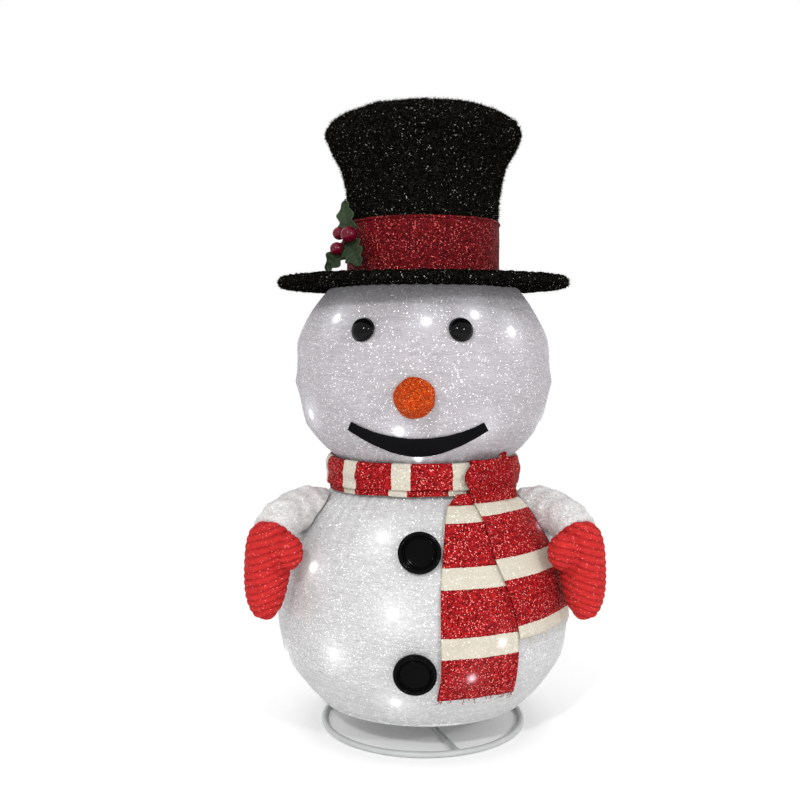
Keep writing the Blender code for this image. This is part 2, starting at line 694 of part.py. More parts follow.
def crown_lid():
    """The hat's top, a shallow dome of the same cloth."""
    lid_inner = [(0.0927, 0.5788), (0.0919, 0.5858), (0.0853, 0.5938), (0.0692, 0.6024), (0.0397, 0.6093)]
    outline = [(0, CROWN_TOP_Z), *CROWN_LID[::-1], *lid_inner, (0, CROWN_TOP_Z - 0.0022)]
    turned("crown_lid", outline, "hat_fabric")


def leaf(root, tip):
    """A holly leaf: a spiny flat blade between its root and its tip."""
    along = tip - root
    away = Vector((root.x, root.y, 0))
    across = along.cross(away).normalized()
    out = across.cross(along).normalized()
    if out.dot(away) < 0:
        out = -out
    shares = (0.0, 0.16, 0.24, 0.40, 0.50, 0.66, 0.76, 1.0)
    widths = (0.18, 0.85, 0.55, 1.0, 0.62, 0.80, 0.42, 0.03)
    bm = bmesh.new()
    layers = []
    for height in (0, LEAF_THICKNESS):
        sides = []
        for sign in (1, -1):
            sides.append([bm.verts.new(root + along * s + across * (sign * LEAF_HALF_WIDTH * w) + out * height)
                          for s, w in zip(shares, widths)])
        layers.append(sides)
    (left0, right0), (left1, right1) = layers
    for i in range(len(shares) - 1):
        for left, right in layers:
            bm.faces.new((left[i], left[i + 1], right[i + 1], right[i]))
        bm.faces.new((left0[i], left0[i + 1], left1[i + 1], left1[i]))
        bm.faces.new((right0[i], right0[i + 1], right1[i + 1], right1[i]))
    for i in (0, len(shares) - 1):
        bm.faces.new((left0[i], right0[i], right1[i], left1[i]))
    return object_of("leaf", bm, "leaf_plastic")


def holly():
    """Three leaves and three berries on the band, on the figure's right."""
    heart = around(*HOLLY_HEART)
    leaves = ellipsoid("holly_leaves", heart, (0.0028, 0.0028, 0.0040), "leaf_plastic", 8, 6)
    boolean(leaves, [leaf(heart, around(*tip)) for tip in HOLLY_TIPS], "UNION")
    centres = [around(azimuth, radius, z) for azimuth, radius, z, _ in BERRIES]
    first, *others = [ellipsoid("berry", centre, (berry[3],) * 3, "berry_plastic", 10, 6)
                      for centre, berry in zip(centres, BERRIES)]
    first.name = "holly_berries"
    twigs = [rod("twig", centres[0], centre, 0.0012, "berry_plastic", 6) for centre in centres[1:]]
    boolean(first, others + twigs, "UNION")


def main():
    clear_scene()
    base_stand()
    pole()
    frames()
    hoops()
    lights()
    battery_box()
    torso()
    head()
    arms()
    scarf()
    hat()
    holly()


main()
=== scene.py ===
"""The finished look of the collapsible lit snowman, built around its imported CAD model.

Metres, +Z up. The figure faces -Y and its own left arm is on +X. Azimuths are in degrees from the front
towards +X, as in the CAD model.
"""

import json
import math

import bmesh
import bpy
import numpy as np
from mathutils import Matrix, Vector, noise


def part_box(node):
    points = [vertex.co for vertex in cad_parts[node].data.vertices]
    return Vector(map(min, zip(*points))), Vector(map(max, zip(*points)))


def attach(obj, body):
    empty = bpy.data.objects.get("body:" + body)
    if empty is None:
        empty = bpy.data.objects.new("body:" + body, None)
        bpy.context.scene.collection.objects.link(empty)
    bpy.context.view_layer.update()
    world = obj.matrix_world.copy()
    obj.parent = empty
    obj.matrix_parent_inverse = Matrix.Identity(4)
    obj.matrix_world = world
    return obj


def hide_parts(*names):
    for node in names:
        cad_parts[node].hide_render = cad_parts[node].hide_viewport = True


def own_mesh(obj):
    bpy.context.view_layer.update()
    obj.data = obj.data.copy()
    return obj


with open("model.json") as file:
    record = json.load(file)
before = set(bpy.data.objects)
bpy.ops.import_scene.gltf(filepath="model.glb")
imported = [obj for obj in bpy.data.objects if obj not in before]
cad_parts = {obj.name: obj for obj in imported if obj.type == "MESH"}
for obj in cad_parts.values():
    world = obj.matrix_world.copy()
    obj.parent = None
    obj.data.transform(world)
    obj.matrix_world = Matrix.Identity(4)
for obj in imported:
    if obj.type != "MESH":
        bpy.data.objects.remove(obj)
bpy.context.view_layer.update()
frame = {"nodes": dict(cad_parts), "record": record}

# Heights of the welded frames, and the forms of the two bodies:
# largest radius, its height, half height below and half height above
BOTTOM_Z, NECK_Z, BRIM_Z = 0.029, 0.250, 0.4315
TORSO = (0.146, 0.120, 0.118, 0.142)
HEAD = (0.127, 0.352, 0.110, 0.110)
FULLNESS = 2.2
TORSO_HOOPS = (0.080, 0.127, 0.174)
HEAD_HOOPS = (0.300, 0.342, 0.380)

# Cloth of the bodies: how far it sags between hoops, and its gathers' number and depth
SAG, PLEATS, PLEAT_DEPTH = 0.0021, 54, 0.0016

# Where bulbs lie against the cloth: (azimuth, height). Then how far a bulb's halo and its bright core reach
TORSO_BULBS = ((-19, 0.208), (-48, 0.175), (-12, 0.145), (-35, 0.102), (-12, 0.060), (27, 0.117),
               (16, 0.088), (58, 0.205), (95, 0.174), (132, 0.127), (168, 0.174), (-160, 0.127),
               (-125, 0.174), (-98, 0.127), (75, 0.080), (115, 0.080), (155, 0.080), (-150, 0.080),
               (-108, 0.080), (-70, 0.080), (150, 0.212), (-140, 0.212))
HEAD_BULBS = ((-45, 0.403), (0, 0.400), (23, 0.406), (40, 0.390), (-64, 0.312), (-12, 0.301),
              (26, 0.301), (-4, 0.273), (80, 0.380), (120, 0.400), (160, 0.380), (-155, 0.400),
              (-115, 0.380), (-85, 0.400), (75, 0.300), (120, 0.300), (165, 0.300), (-145, 0.300),
              (-105, 0.300))
HALO_SIZE, CORE_SIZE = 0.0165, 0.0033

# Face and buttons. The face sits a little to the figure's right on its cloth
EYES_MIDDLE_X, EYE_X, EYE_Z, EYE_BALL = -0.0125, 0.0428, 0.391, 0.0112
NOSE_X, NOSE_Z, NOSE_RADIUS, NOSE_LENGTH = -0.0100, 0.3325, 0.0200, 0.036
BUTTONS = {"upper": (-0.0057, 0.1947, "torso_high"), "lower": (-0.0098, 0.0936, "torso_low")}
BUTTON_RADIUS = 0.0192
BUTTON_FORM = (  # (share of the radius, height) over the rim and into the dish
    (0.92, 0), (0.985, 0.0009), (1, 0.0022), (1, 0.0040), (0.985, 0.0053), (0.94, 0.0062), (0.88, 0.0064),
    (0.83, 0.0060), (0.80, 0.0050), (0.775, 0.0036), (0.76, 0.0030), (0.73, 0.0028), (0.70, 0.0032),
    (0.68, 0.0038), (0.64, 0.0040), (0.2, 0.0038), (0, 0.0038))
SHANK = [(0, -0.0065), (0.0023, -0.0065), (0.0025, -0.0060), (0.0025, -0.0002)]
MOUTH_AZIMUTH, MOUTH_HALF_AZIMUTH = -4.0, 31
MOUTH_MIDDLE_Z, MOUTH_RISE = 0.2869, 0.0188  # the rise is from the middle to the corners
MOUTH_HALF_HEIGHT, MOUTH_TAPER = 0.0082, 0.0046  # in the middle, and how much less it is at the corners
MOUTH_FLAT, MOUTH_AREA = (0.142, 0.034), 0.00190
LIFT = 0.0004  # of the eyes and buttons off the cloth

# Arms: (x, y, z, radius) along the left sleeve, ((x, y, z), radius) down its mitten, and the thumb's centre
# and half sizes. Then the ribs' spacing and height, and the depth of the seam round the thumb
SLEEVE = ((0.1000, -0.0205, 0.2160, 0.0225), (0.1120, -0.0320, 0.2185, 0.0222),
          (0.1240, -0.0480, 0.2180, 0.0206), (0.1350, -0.0680, 0.2130, 0.0195),
          (0.1410, -0.0810, 0.2040, 0.0190))
MITTEN = (((0.1394, -0.0790, 0.2100), 0.0130), ((0.1404, -0.0815, 0.2060), 0.0190),
          ((0.1422, -0.0855, 0.1970), 0.0218), ((0.1440, -0.0895, 0.1790), 0.0216),
          ((0.1458, -0.0915, 0.1560), 0.0196), ((0.1468, -0.0915, 0.1390), 0.0152),
          ((0.1475, -0.0905, 0.1280), 0.0080))
THUMB = ((0.1240, -0.1025, 0.1905), (0.0140, 0.0140, 0.0185))
RIB, RIB_HEIGHT = 0.0067, 0.0007
CREASE_DEPTH = 0.0045

# Scarf: the stripes' period along the cloth, the red share of it, and round the collar the azimuth where one
# starts, the degrees in one, and the azimuth where the collar's ends meet, under the wrap
STRIPE = 0.0595
RED_SHARE = 0.685
COLLAR_STRIPE_START, COLLAR_STRIPE_TURN, COLLAR_ENDS = -42.2, 34.1, 40
COLLAR_BACK, BACK_STRETCH = -100, 1.066  # behind this azimuth the stripes are a little narrower
COLLAR_LAYERS = (  # name, section as (radius, height), unevenness, and how far its stripes are shifted
    ("collar_under_layer", ((0.0880, 0.2540), (0.0915, 0.2490), (0.0930, 0.2440), (0.0934, 0.2390)),
     0.0008, 0.0036),
    ("collar_fold", ((0.0810, 0.2540), (0.0820, 0.2610), (0.0855, 0.2660), (0.0905, 0.2695), (0.0940, 0.2690),
                     (0.0958, 0.2650), (0.0964, 0.2580), (0.0962, 0.2510), (0.0956, 0.2450)),
     0.0012, 0.0),
)
COLLAR_FLAT_RADIUS = 0.096

# Each tail: (height, left azimuth, right azimuth) down its edges, its lift off the torso, where in the
# stripes its cut end is, and how much higher its right edge is than its left
TAILS = {
    "front": (((0.2425, 17, 33), (0.2330, 12.5, 33), (0.2200, 9.2, 32), (0.2050, 7.4, 31.5),
               (0.1750, 5.4, 32), (0.1450, 4.8, 33), (0.1150, 4.9, 34), (0.0900, 5.0, 34.5),
               (0.0672, 4.0, 35.5)),
              0.0012, 0.0, 0.0),
    "side": (((0.2440, 25.5, 58.0), (0.2330, 26, 60.0), (0.2200, 26.6, 61.0), (0.2000, 26.5, 60.5),
              (0.1850, 27, 60), (0.1690, 28.9, 60.5), (0.1500, 31, 62), (0.1185, 33.8, 64.5)),
             0.0036, 0.047, 0.0040),
}
TAIL_WIDTH, TAIL_TOP = 0.074, 0.2440
HANG_RADIUS = 0.0975  # the tails hang straight from the collar until they meet the torso

# Hat: (radius, height) up the crown's wall, over its top and up the band, then the brim. The brim sags a
# little at the front and back, outside a radius
CROWN = ((0.0742, 0.4420), (0.0735, 0.4700), (0.0733, 0.4980), (0.0752, 0.5300), (0.0809, 0.5505),
         (0.0888, 0.5655), (0.0947, 0.5783))
CROWN_TOP = ((0.0947, 0.5785), (0.0943, 0.5850), (0.0870, 0.5935), (0.0690, 0.6015), (0.0400, 0.6078),
             (0.0, 0.6100))
BAND_TOP = 0.4965
BAND = ((0.0753, 0.4428), (0.0757, 0.4446), (0.0752, 0.4466), (0.0749, 0.4720), (0.0747, 0.4940),
        (0.0748, 0.4952), (0.0743, BAND_TOP))
BRIM_RADIUS, BRIM_BORE, BRIM_EDGE = 0.1425, 0.0700, 0.0042
BRIM_LOW, BRIM_HIGH = BRIM_Z + 0.0030, BRIM_Z + 0.0106
BRIM_DROOP, BRIM_DROOP_FROM = 0.0006, 0.0900

# Holly: where the leaves meet, then each leaf's tip, half width and the azimuth that it faces, and each
# berry's azimuth, radius from the axis, height and own radius
HOLLY_HEART = (-56, 0.0835, 0.4745)
HOLLY_LEAVES = (((-59, 0.0860, 0.5150), 0.0118, -22), ((-68, 0.1000, 0.4470), 0.0125, -26),
                ((-41, 0.0870, 0.4500), 0.0150, -27))
BERRIES = ((-50, 0.0920, 0.4805, 0.0078), (-60, 0.0925, 0.4828, 0.0064), (-58, 0.0970, 0.4680, 0.0064))

# Base: the floor ring, and the azimuth of the bar across it
RING_RADIUS, RING_WIRE, BAR_AZIMUTH = 0.0994, 0.00280, 18
WELD = (0.0042, 0.0042, 0.0031)

# Thicknesses
SKIN, FELT, SCARF_CLOTH, WRAP_CLOTH, HAT_CLOTH, RIBBON = 0.0010, 0.0015, 0.0012, 0.0014, 0.0018, 0.0011
BRIM_CLOTH, LEAF = 0.0012, 0.0008


# ---------------------------------------------------------------- meshes

def around(azimuth, radius, z):
    """A point at an azimuth, a distance from the axis and a height."""
    a = math.radians(azimuth)
    return Vector((radius * math.sin(a), -radius * math.cos(a), z))


def bulge(z, form):
    """A body's radius at a height."""
    widest, middle, below, above = form
    share = abs(z - middle) / (above if z > middle else below)
    return widest * (1 - min(share, 1) ** FULLNESS) ** (1 / FULLNESS)


def slope(z, form):
    step = 1e-5
    return (bulge(z + step, form) - bulge(z - step, form)) / (2 * step)


def skin_point(azimuth, z, form, lift=0.0):
    """A point at a distance off a body's skin, square to it."""
    gradient = slope(z, form)
    length = math.hypot(1, gradient)
    return around(azimuth, bulge(z, form) + lift / length, z - lift * gradient / length)


def skin_frame(form, x, z, lift):
    """A matrix on a body's front, with Z along the outward normal and Y up the skin."""
    azimuth = math.degrees(math.asin(x / bulge(z, form)))
    out = around(azimuth, 1, 0)
    normal = (out - Vector((0, 0, slope(z, form)))).normalized()
    across = Vector((0, 0, 1)).cross(normal).normalized()
    turn = Matrix((across, normal.cross(across), normal)).transposed().to_4x4()
    return Matrix.Translation(skin_point(azimuth, z, form, lift)) @ turn


def grid_faces(rows, columns, closed):
    last = columns if closed else columns - 1
    return [(r * columns + c, r * columns + (c + 1) % columns,
             (r + 1) * columns + (c + 1) % columns, (r + 1) * columns + c)
            for r in range(rows - 1) for c in range(last)]


def new_object(name, data):
    obj = bpy.data.objects.new(name, data)
    bpy.context.scene.collection.objects.link(obj)
    return obj


def make(name, points, faces, material):
    mesh = bpy.data.meshes.new(name)
    mesh.from_pydata([tuple(p) for p in points], [], faces)
    mesh.update()
    mesh.shade_smooth()
    mesh.materials.append(material)
    return new_object(name, mesh)


def sheet_rows(rows, columns, point):
    """Rows of points, from point(up, across) with both from 0 to 1."""
    return [[point(k / rows, c / (columns - 1)) for c in range(columns)] for k in range(rows + 1)]


def ring_rows(profile, columns, point):
    """Rows of points round the axis, from point(azimuth, radius, z) for each (radius, z) of a profile."""
    return [[point(360 * c / columns, radius, z) for c in range(columns)] for radius, z in profile]


def grid(name, rows, material, closed=False):
    """A surface through rows of points. Rows go up and columns towards +X at the front, so it faces out."""
    points = [p for row in rows for p in row]
    return make(name, points, grid_faces(len(rows), len(rows[0]), closed), material)


def turned(name, outline, material, segments=64, matrix=None, closed=False):
    """A solid of revolution about Z. The outline goes from low to high on its outer side."""
    rows = [[around(360 * c / segments, max(r, 0), z) for c in range(segments)] for r, z in outline]
    if closed:
        rows.append(rows[0])
    obj = grid(name, rows, material, closed=True)
    weld(obj)
    if matrix:
        obj.data.transform(matrix)
    return obj


def tube(name, path, radii, sides, material):
    """A closed round tube along a path, with a radius at each point."""
    points = [Vector(p) for p in path]
    rows = []
    side = Vector((0.3, 1, 0.1))
    for i, point in enumerate(points):
        along = (points[min(i + 1, len(points) - 1)] - points[max(i - 1, 0)]).normalized()
        side = (side - along * side.dot(along)).normalized()
        up = along.cross(side)
        turns = [math.tau * k / sides for k in range(sides)]
        rows.append([point + (side * math.cos(a) + up * math.sin(a)) * radii[i] for a in turns])
    rows = [[points[0]] * sides] + rows + [[points[-1]] * sides]
    obj = grid(name, rows, material, closed=True)
    weld(obj)
    return obj


def weld(obj, distance=1e-6):
    """Joins points that lie together and turns all faces outwards."""
    bm = bmesh.new()
    bm.from_mesh(obj.data)
    bmesh.ops.remove_doubles(bm, verts=bm.verts, dist=distance)
    bmesh.ops.recalc_face_normals(bm, faces=bm.faces)
    bm.to_mesh(obj.data)
    bm.free()


def smooth_path(points, steps):
    """Catmull-Rom points through the given ones; works on tuples of any length."""
    p = [np.array(q, float) for q in points]
    p = [2 * p[0] - p[1]] + p + [2 * p[-1] - p[-2]]
    route = []
    for a, b, c, d in zip(p, p[1:], p[2:], p[3:]):
        for i in range(steps):
            t = i / steps
            route.append(0.5 * (2 * b + (c - a) * t + (2 * a - 5 * b + 4 * c - d) * t * t
                                + (3 * b - a - 3 * c + d) * t ** 3))
    return route + [p[-2]]


def ellipsoid(name, centre, size, material, segments=24, rings=16):
    outline = [(math.cos(math.pi * (i / rings - 0.5)), math.sin(math.pi * (i / rings - 0.5)))
               for i in range(rings + 1)]
    matrix = Matrix.Translation(centre) @ Matrix.Diagonal((*size, 1))
    return turned(name, outline, material, segments, matrix)


def join(obj, others):
    """Adds the others' meshes to obj's mesh."""
    with bpy.context.temp_override(active_object=obj, selected_editable_objects=[obj, *others]):
        bpy.ops.object.join()


def settle(obj):
    """Applies obj's modifiers."""
    graph = bpy.context.evaluated_depsgraph_get()
    mesh = bpy.data.meshes.new_from_object(obj.evaluated_get(graph))
    obj.modifiers.clear()
    obj.data = mesh
    mesh.shade_smooth()


def modify(obj, kind, **settings):
    modifier = obj.modifiers.new(kind.lower(), kind)
    for key, value in settings.items():
        setattr(modifier, key, value)


def thicken(obj, thickness, offset=-1):
    """Gives a surface a thickness. An offset of -1 puts it all inside."""
    modify(obj, "SOLIDIFY", thickness=thickness, offset=offset, use_even_offset=False)
    settle(obj)


def subdivide(obj):
    modify(obj, "SUBSURF", levels=1, render_levels=1)
    settle(obj)


def coordinates_of(obj):
    values = np.empty(len(obj.data.vertices) * 3)
    obj.data.vertices.foreach_get("co", values)
    return values.reshape(-1, 3)


def mark(obj, name, values):
    """Stores a number for each vertex, for the materials."""
    made = obj.data.attributes.new(name, "FLOAT", "POINT")
    made.data.foreach_set("value", np.asarray(values, np.float32).ravel())


def mark_place(obj):
    """Stores where each vertex is at rest, so that a pattern stays with cloth that flattens."""
    made = obj.data.attributes.new("place", "FLOAT_VECTOR", "POINT")
    made.data.foreach_set("vector", coordinates_of(obj).astype(np.float32).ravel())


def mark_bulbs(obj, bulbs, form):
    """Stores each vertex's distance to the nearest bulb."""
    centres = np.array([skin_point(a, z, form) for a, z in bulbs])
    points = coordinates_of(obj)
    nearest = np.full(len(points), 1.0)
    for centre in centres:
        nearest = np.minimum(nearest, np.linalg.norm(points - centre, axis=1))
    mark(obj, "bulb", nearest)


def ripple(point, size, depth, seed=0.0):
    """Smooth noise of a depth in metres, with features of a size in metres."""
    return depth * noise.noise(Vector(point) / size + Vector((seed, 2 * seed, 3 * seed)))


def unit(vectors):
    """Rows of a length of one, in the same directions."""
    return vectors / np.maximum(np.linalg.norm(vectors, axis=1, keepdims=True), 1e-6)


def spots_on(host, count, rng, where):
    """Random spots on a mesh: their places, their faces' normals and a corner of each face."""
    mesh = host.data
    mesh.calc_loop_triangles()
    corners = np.empty(len(mesh.loop_triangles) * 3, int)
    mesh.loop_triangles.foreach_get("vertices", corners)
    corners = corners.reshape(-1, 3)
    points = coordinates_of(host)
    a, b, c = (points[corners[:, k]] for k in range(3))
    cross = np.cross(b - a, c - a)
    area = np.linalg.norm(cross, axis=1)
    weight = area if where is None else area * [where(spot) for spot in (a + b + c) / 3]
    chosen = rng.choice(len(area), count, p=weight / weight.sum())
    u, v = rng.random((2, count, 1))
    u, v = np.where(u + v > 1, 1 - u, u), np.where(u + v > 1, 1 - v, v)
    spots = a[chosen] + u * (b - a)[chosen] + v * (c - a)[chosen]
    return spots, cross[chosen] / area[chosen, None], corners[chosen, 0]


def tinsel(name, host, count, length, width, rise, material, seed, along=0.0, where=None):
    """Fine slivers of foil rooted in a cloth's surface: closed three-sided spikes.

    rise is how steeply they stand, from 0 (flat on the cloth) to 1, and along how far they line up round
    the vertical axis, from 0 (any way) to 1. where says of a spot on the cloth whether slivers grow there.
    """
    rng = np.random.default_rng(seed)
    root, normal, corner = spots_on(host, count, rng, where)
    level = unit(np.cross([0.0, 0.0, 1.0], normal)) * rng.choice([-1.0, 1.0], (count, 1))
    lay = along * level + (1 - along) * rng.normal(size=(count, 3)) * 0.6
    lay = unit(lay - normal * (lay * normal).sum(1, keepdims=True))
    lean = rise * rng.uniform(0.2, 1.0, (count, 1))
    towards = lay * np.sqrt(1 - lean ** 2) + normal * lean
    side = unit(np.cross(towards, normal))
    up = np.cross(side, towards)
    reach = length * rng.uniform(0.45, 1.0, (count, 1))
    root = root - normal * width * 0.3
    spikes = np.stack([root + side * width / 2, root - side * width / 2, root + up * width * 0.6,
                       root + towards * reach], axis=1).reshape(-1, 3)
    first = np.arange(count)[:, None, None] * 4
    faces = (first + np.array([[0, 1, 3], [1, 2, 3], [2, 0, 3], [0, 2, 1]])).reshape(-1, 3)
    obj = make(name, spikes.tolist(), faces.tolist(), material)
    mark(obj, "spark", np.repeat(rng.random(count), 4))
    mark(obj, "tip", np.tile([0.0, 0.0, 0.0, 1.0], count))
    for kind in ("along", "bulb"):
        if kind in host.data.attributes:
            values = np.empty(len(host.data.vertices))
            host.data.attributes[kind].data.foreach_get("value", values)
            mark(obj, kind, np.repeat(values[corner], 4))
    obj.data.shade_flat()
    return obj


# ---------------------------------------------------------------- materials

def new_material(name):
    material = bpy.data.materials.new(name)
    material.use_nodes = True
    return material, material.node_tree, material.node_tree.nodes["Principled BSDF"]


def feed(tree, node, inputs):
    """Fills a node's inputs, given by name or number: a socket is linked and a value is set."""
    for key, value in inputs.items():
        if isinstance(value, bpy.types.NodeSocket):
            tree.links.new(value, node.inputs[key])
        else:
            node.inputs[key].default_value = value


def add(tree, kind, inputs=None, **settings):
    """A shader node with its settings and its inputs."""
    made = tree.nodes.new("ShaderNode" + kind)
    for key, value in settings.items():
        setattr(made, key, value)
    feed(tree, made, inputs or {})
    return made


def calc(tree, operation, *values):
    """A sum with numbers."""
    return add(tree, "Math", dict(enumerate(values)), operation=operation).outputs[0]


def place_of(tree, kept):
    """The point on the surface: kept means where it was at rest, for pieces that flatten."""
    if kept:
        return add(tree, "Attribute", attribute_name="place").outputs["Vector"]
    return add(tree, "TexCoord").outputs["Object"]


def noise_of(tree, place, size, detail=3.0):
    return add(tree, "TexNoise", {"Vector": place, "Scale": 1 / size, "Detail": detail}).outputs["Fac"]


def blend_colours(tree, amount, first, second, kind="MIX"):
    """Two colours blended. A colour is a socket or three numbers."""
    colours = [c if isinstance(c, bpy.types.NodeSocket) else (*c, 1) for c in (first, second)]
    return add(tree, "Mix", {0: amount, 6: colours[0], 7: colours[1]}, data_type="RGBA",
               blend_type=kind).outputs[2]


def fine_relief(tree, height, strength, depth):
    """A normal with fine relief."""
    return add(tree, "Bump", {"Height": height, "Strength": strength, "Distance": depth}).outputs[0]


def shade(colour, share):
    """A colour made darker or lighter."""
    return tuple(min(1.0, c * share) for c in colour)


def mapped(tree, value, low, high):
    """A value from 0 to 1, mapped to a range."""
    return add(tree, "MapRange", {"Value": value, "To Min": low, "To Max": high}).outputs["Result"]


def noise_mapped(tree, value, low, high):
    """A noise, most of which lies from 0.3 to 0.7, mapped to a range."""
    return add(tree, "MapRange", {"Value": value, "From Min": 0.3, "From Max": 0.7,
                                  "To Min": low, "To Max": high}).outputs["Result"]


def vector(tree, operation, *values, **factor):
    """A sum with vectors. SCALE takes its factor as Scale."""
    return add(tree, "VectorMath", {**dict(enumerate(values)), **factor}, operation=operation).outputs[0]


def stored(tree, name):
    """A number that the mesh stores for each vertex."""
    return add(tree, "Attribute", attribute_name=name).outputs["Fac"]


def strands(tree, place, thickness, length):
    """Level strands of cloth, much longer than they are thick, none of them quite straight."""
    wander = add(tree, "TexNoise", {"Vector": place, "Scale": 60.0, "Detail": 1.0}).outputs["Color"]
    moved = vector(tree, "MULTIPLY_ADD", wander, (0.0, 0.0, 0.004), place)
    stretched = vector(tree, "MULTIPLY", moved, (1 / length, 1 / length, 1 / thickness))
    return noise_of(tree, stretched, 1.0)


PLAINNESS = 0.88  # how much less a pale stripe's cells differ in tone
DULLNESS = 0.65  # and how much less often they catch the light


def glitter_cloth(name, colour, fleck, tones=(0.8, 1.15, 1.0), share=0.08, fleck_size=0.0011, strand=0.0013,
                  roughness=0.65, relief=0.0004, kept=False, stripe=None, glow=None, specular=0.15,
                  painted_rib_shading=False, painted_fold_shade=0.04):
    """Cloth woven with foil thread. It has level strands and small cells, each with its own tone and tilt.

    tones are the darkest and brightest cell and how rare the bright ones are; share is the part of the cells
    that catch the light. A stripe is smoother than the colour beside it. With painted rib shading, painted
    shade darkens the furrows between ribs and the crests are painted a little lighter, as the mesh stores.
    """
    material, tree, shader = new_material(name)
    place = place_of(tree, kept)
    weave = strands(tree, place, strand, strand * 9)
    fine = noise_of(tree, place, 0.0009, 2.0)
    cells = add(tree, "TexVoronoi", {"Vector": place, "Scale": 1 / fleck_size}).outputs
    tone_of_cell, light_of_cell = add(tree, "SeparateColor", {"Color": cells["Color"]}).outputs[:2]
    plain = 0.0
    if stripe:
        base, red = stripes(tree, place, colour, stripe)
        plain = calc(tree, "SUBTRACT", 1.0, red)
        fleck = blend_colours(tree, red, (0.95, 0.92, 0.85), fleck)
    else:
        patches = noise_of(tree, place, 0.030)
        base = blend_colours(tree, patches, shade(colour, 0.90), shade(colour, 1.08))
    tone = woven_tone(tree, tone_of_cell, tones, weave, plain if stripe else None)
    # painted shade and light of small folds: long level bands a little darker and lighter than the cloth
    folds = strands(tree, place, 0.0045, 0.070)
    tone = calc(tree, "MULTIPLY", tone, noise_mapped(tree, folds, 1 - painted_fold_shade, 1 + painted_fold_shade))
    if painted_rib_shading:
        # painted shade: the knit is darker in the furrows between ribs and a little lighter on their crests
        tone = calc(tree, "MULTIPLY", tone, mapped(tree, stored(tree, "rib_shade"), 1.10, 0.50))
    rarely = calc(tree, "ADD", light_of_cell, calc(tree, "MULTIPLY", plain, DULLNESS * share))
    lit = calc(tree, "MULTIPLY", calc(tree, "LESS_THAN", rarely, share),
               calc(tree, "LESS_THAN", cells["Distance"], 0.45))
    rough = calc(tree, "SUBTRACT", mapped(tree, fine, roughness - 0.1, roughness + 0.1),
                 calc(tree, "MULTIPLY", lit, roughness - 0.25))
    woven = calc(tree, "ADD", weave, calc(tree, "MULTIPLY", fine, 0.5))
    feed(tree, shader, {
        "Base Color": blend_colours(tree, lit, vector(tree, "SCALE", base, Scale=tone), fleck),
        "Roughness": rough,
        "Metallic": calc(tree, "MULTIPLY", lit, 0.5),
        "Normal": tilted(tree, cells["Color"], lit, woven, relief),
        "Specular IOR Level": specular,
    })
    if glow:
        light_up(tree, shader, *glow)
    return material


def woven_tone(tree, tone_of_cell, tones, weave, plain):
    """How bright the cloth is at a point, by its cell and its strand; nearly even where it is plain."""
    darkest, brightest, rarity = tones
    tone = mapped(tree, calc(tree, "POWER", tone_of_cell, rarity), darkest, brightest)
    tone = calc(tree, "MULTIPLY", tone, noise_mapped(tree, weave, 0.86, 1.10))
    if plain is None:
        return tone
    even = calc(tree, "MULTIPLY", plain, PLAINNESS)
    return calc(tree, "ADD", calc(tree, "MULTIPLY", tone, calc(tree, "SUBTRACT", 1.0, even)), even)


def tilted(tree, cell, lit, height, relief):
    """A normal that each cell tilts its own way, most where it catches the light, with the weave's relief."""
    lean = vector(tree, "SUBTRACT", cell, (0.5, 0.5, 0.5))
    lean = vector(tree, "SCALE", lean, Scale=mapped(tree, lit, 0.27, 0.9))
    facing = vector(tree, "ADD", add(tree, "NewGeometry").outputs["Normal"], lean)
    return add(tree, "Bump", {"Height": height, "Strength": 0.8, "Distance": relief,
                              "Normal": vector(tree, "NORMALIZE", facing)}).outputs[0]


def stripes(tree, place, colour, other):
    """Bands across the cloth with slightly uneven edges: their colour, and 1 where it is the first one."""
    uneven_edge = mapped(tree, noise_of(tree, place, 0.003), -0.0008, 0.0008)
    along = calc(tree, "ADD", stored(tree, "along"), uneven_edge)
    red = calc(tree, "LESS_THAN", calc(tree, "FRACT", calc(tree, "DIVIDE", along, STRIPE)), RED_SHARE)
    patches = noise_of(tree, place, 0.012)
    first = blend_colours(tree, patches, shade(colour, 0.80), shade(colour, 1.15))
    second = blend_colours(tree, patches, shade(other, 0.93), shade(other, 1.05))
    return blend_colours(tree, red, second, first), red


def light_up(tree, shader, everywhere, halo, core, colour):
    """Light from inside: a little everywhere, a soft halo round each bulb and a bright point at it."""
    distance = stored(tree, "bulb")
    total = everywhere
    for strength, size in ((halo, HALO_SIZE), (core, CORE_SIZE)):
        ratio = calc(tree, "DIVIDE", distance, size)
        fall = calc(tree, "EXPONENT", calc(tree, "MULTIPLY", calc(tree, "MULTIPLY", ratio, ratio), -1.0))
        total = calc(tree, "ADD", calc(tree, "MULTIPLY", fall, strength), total)
    feed(tree, shader, {"Emission Color": (*colour, 1), "Emission Strength": total})


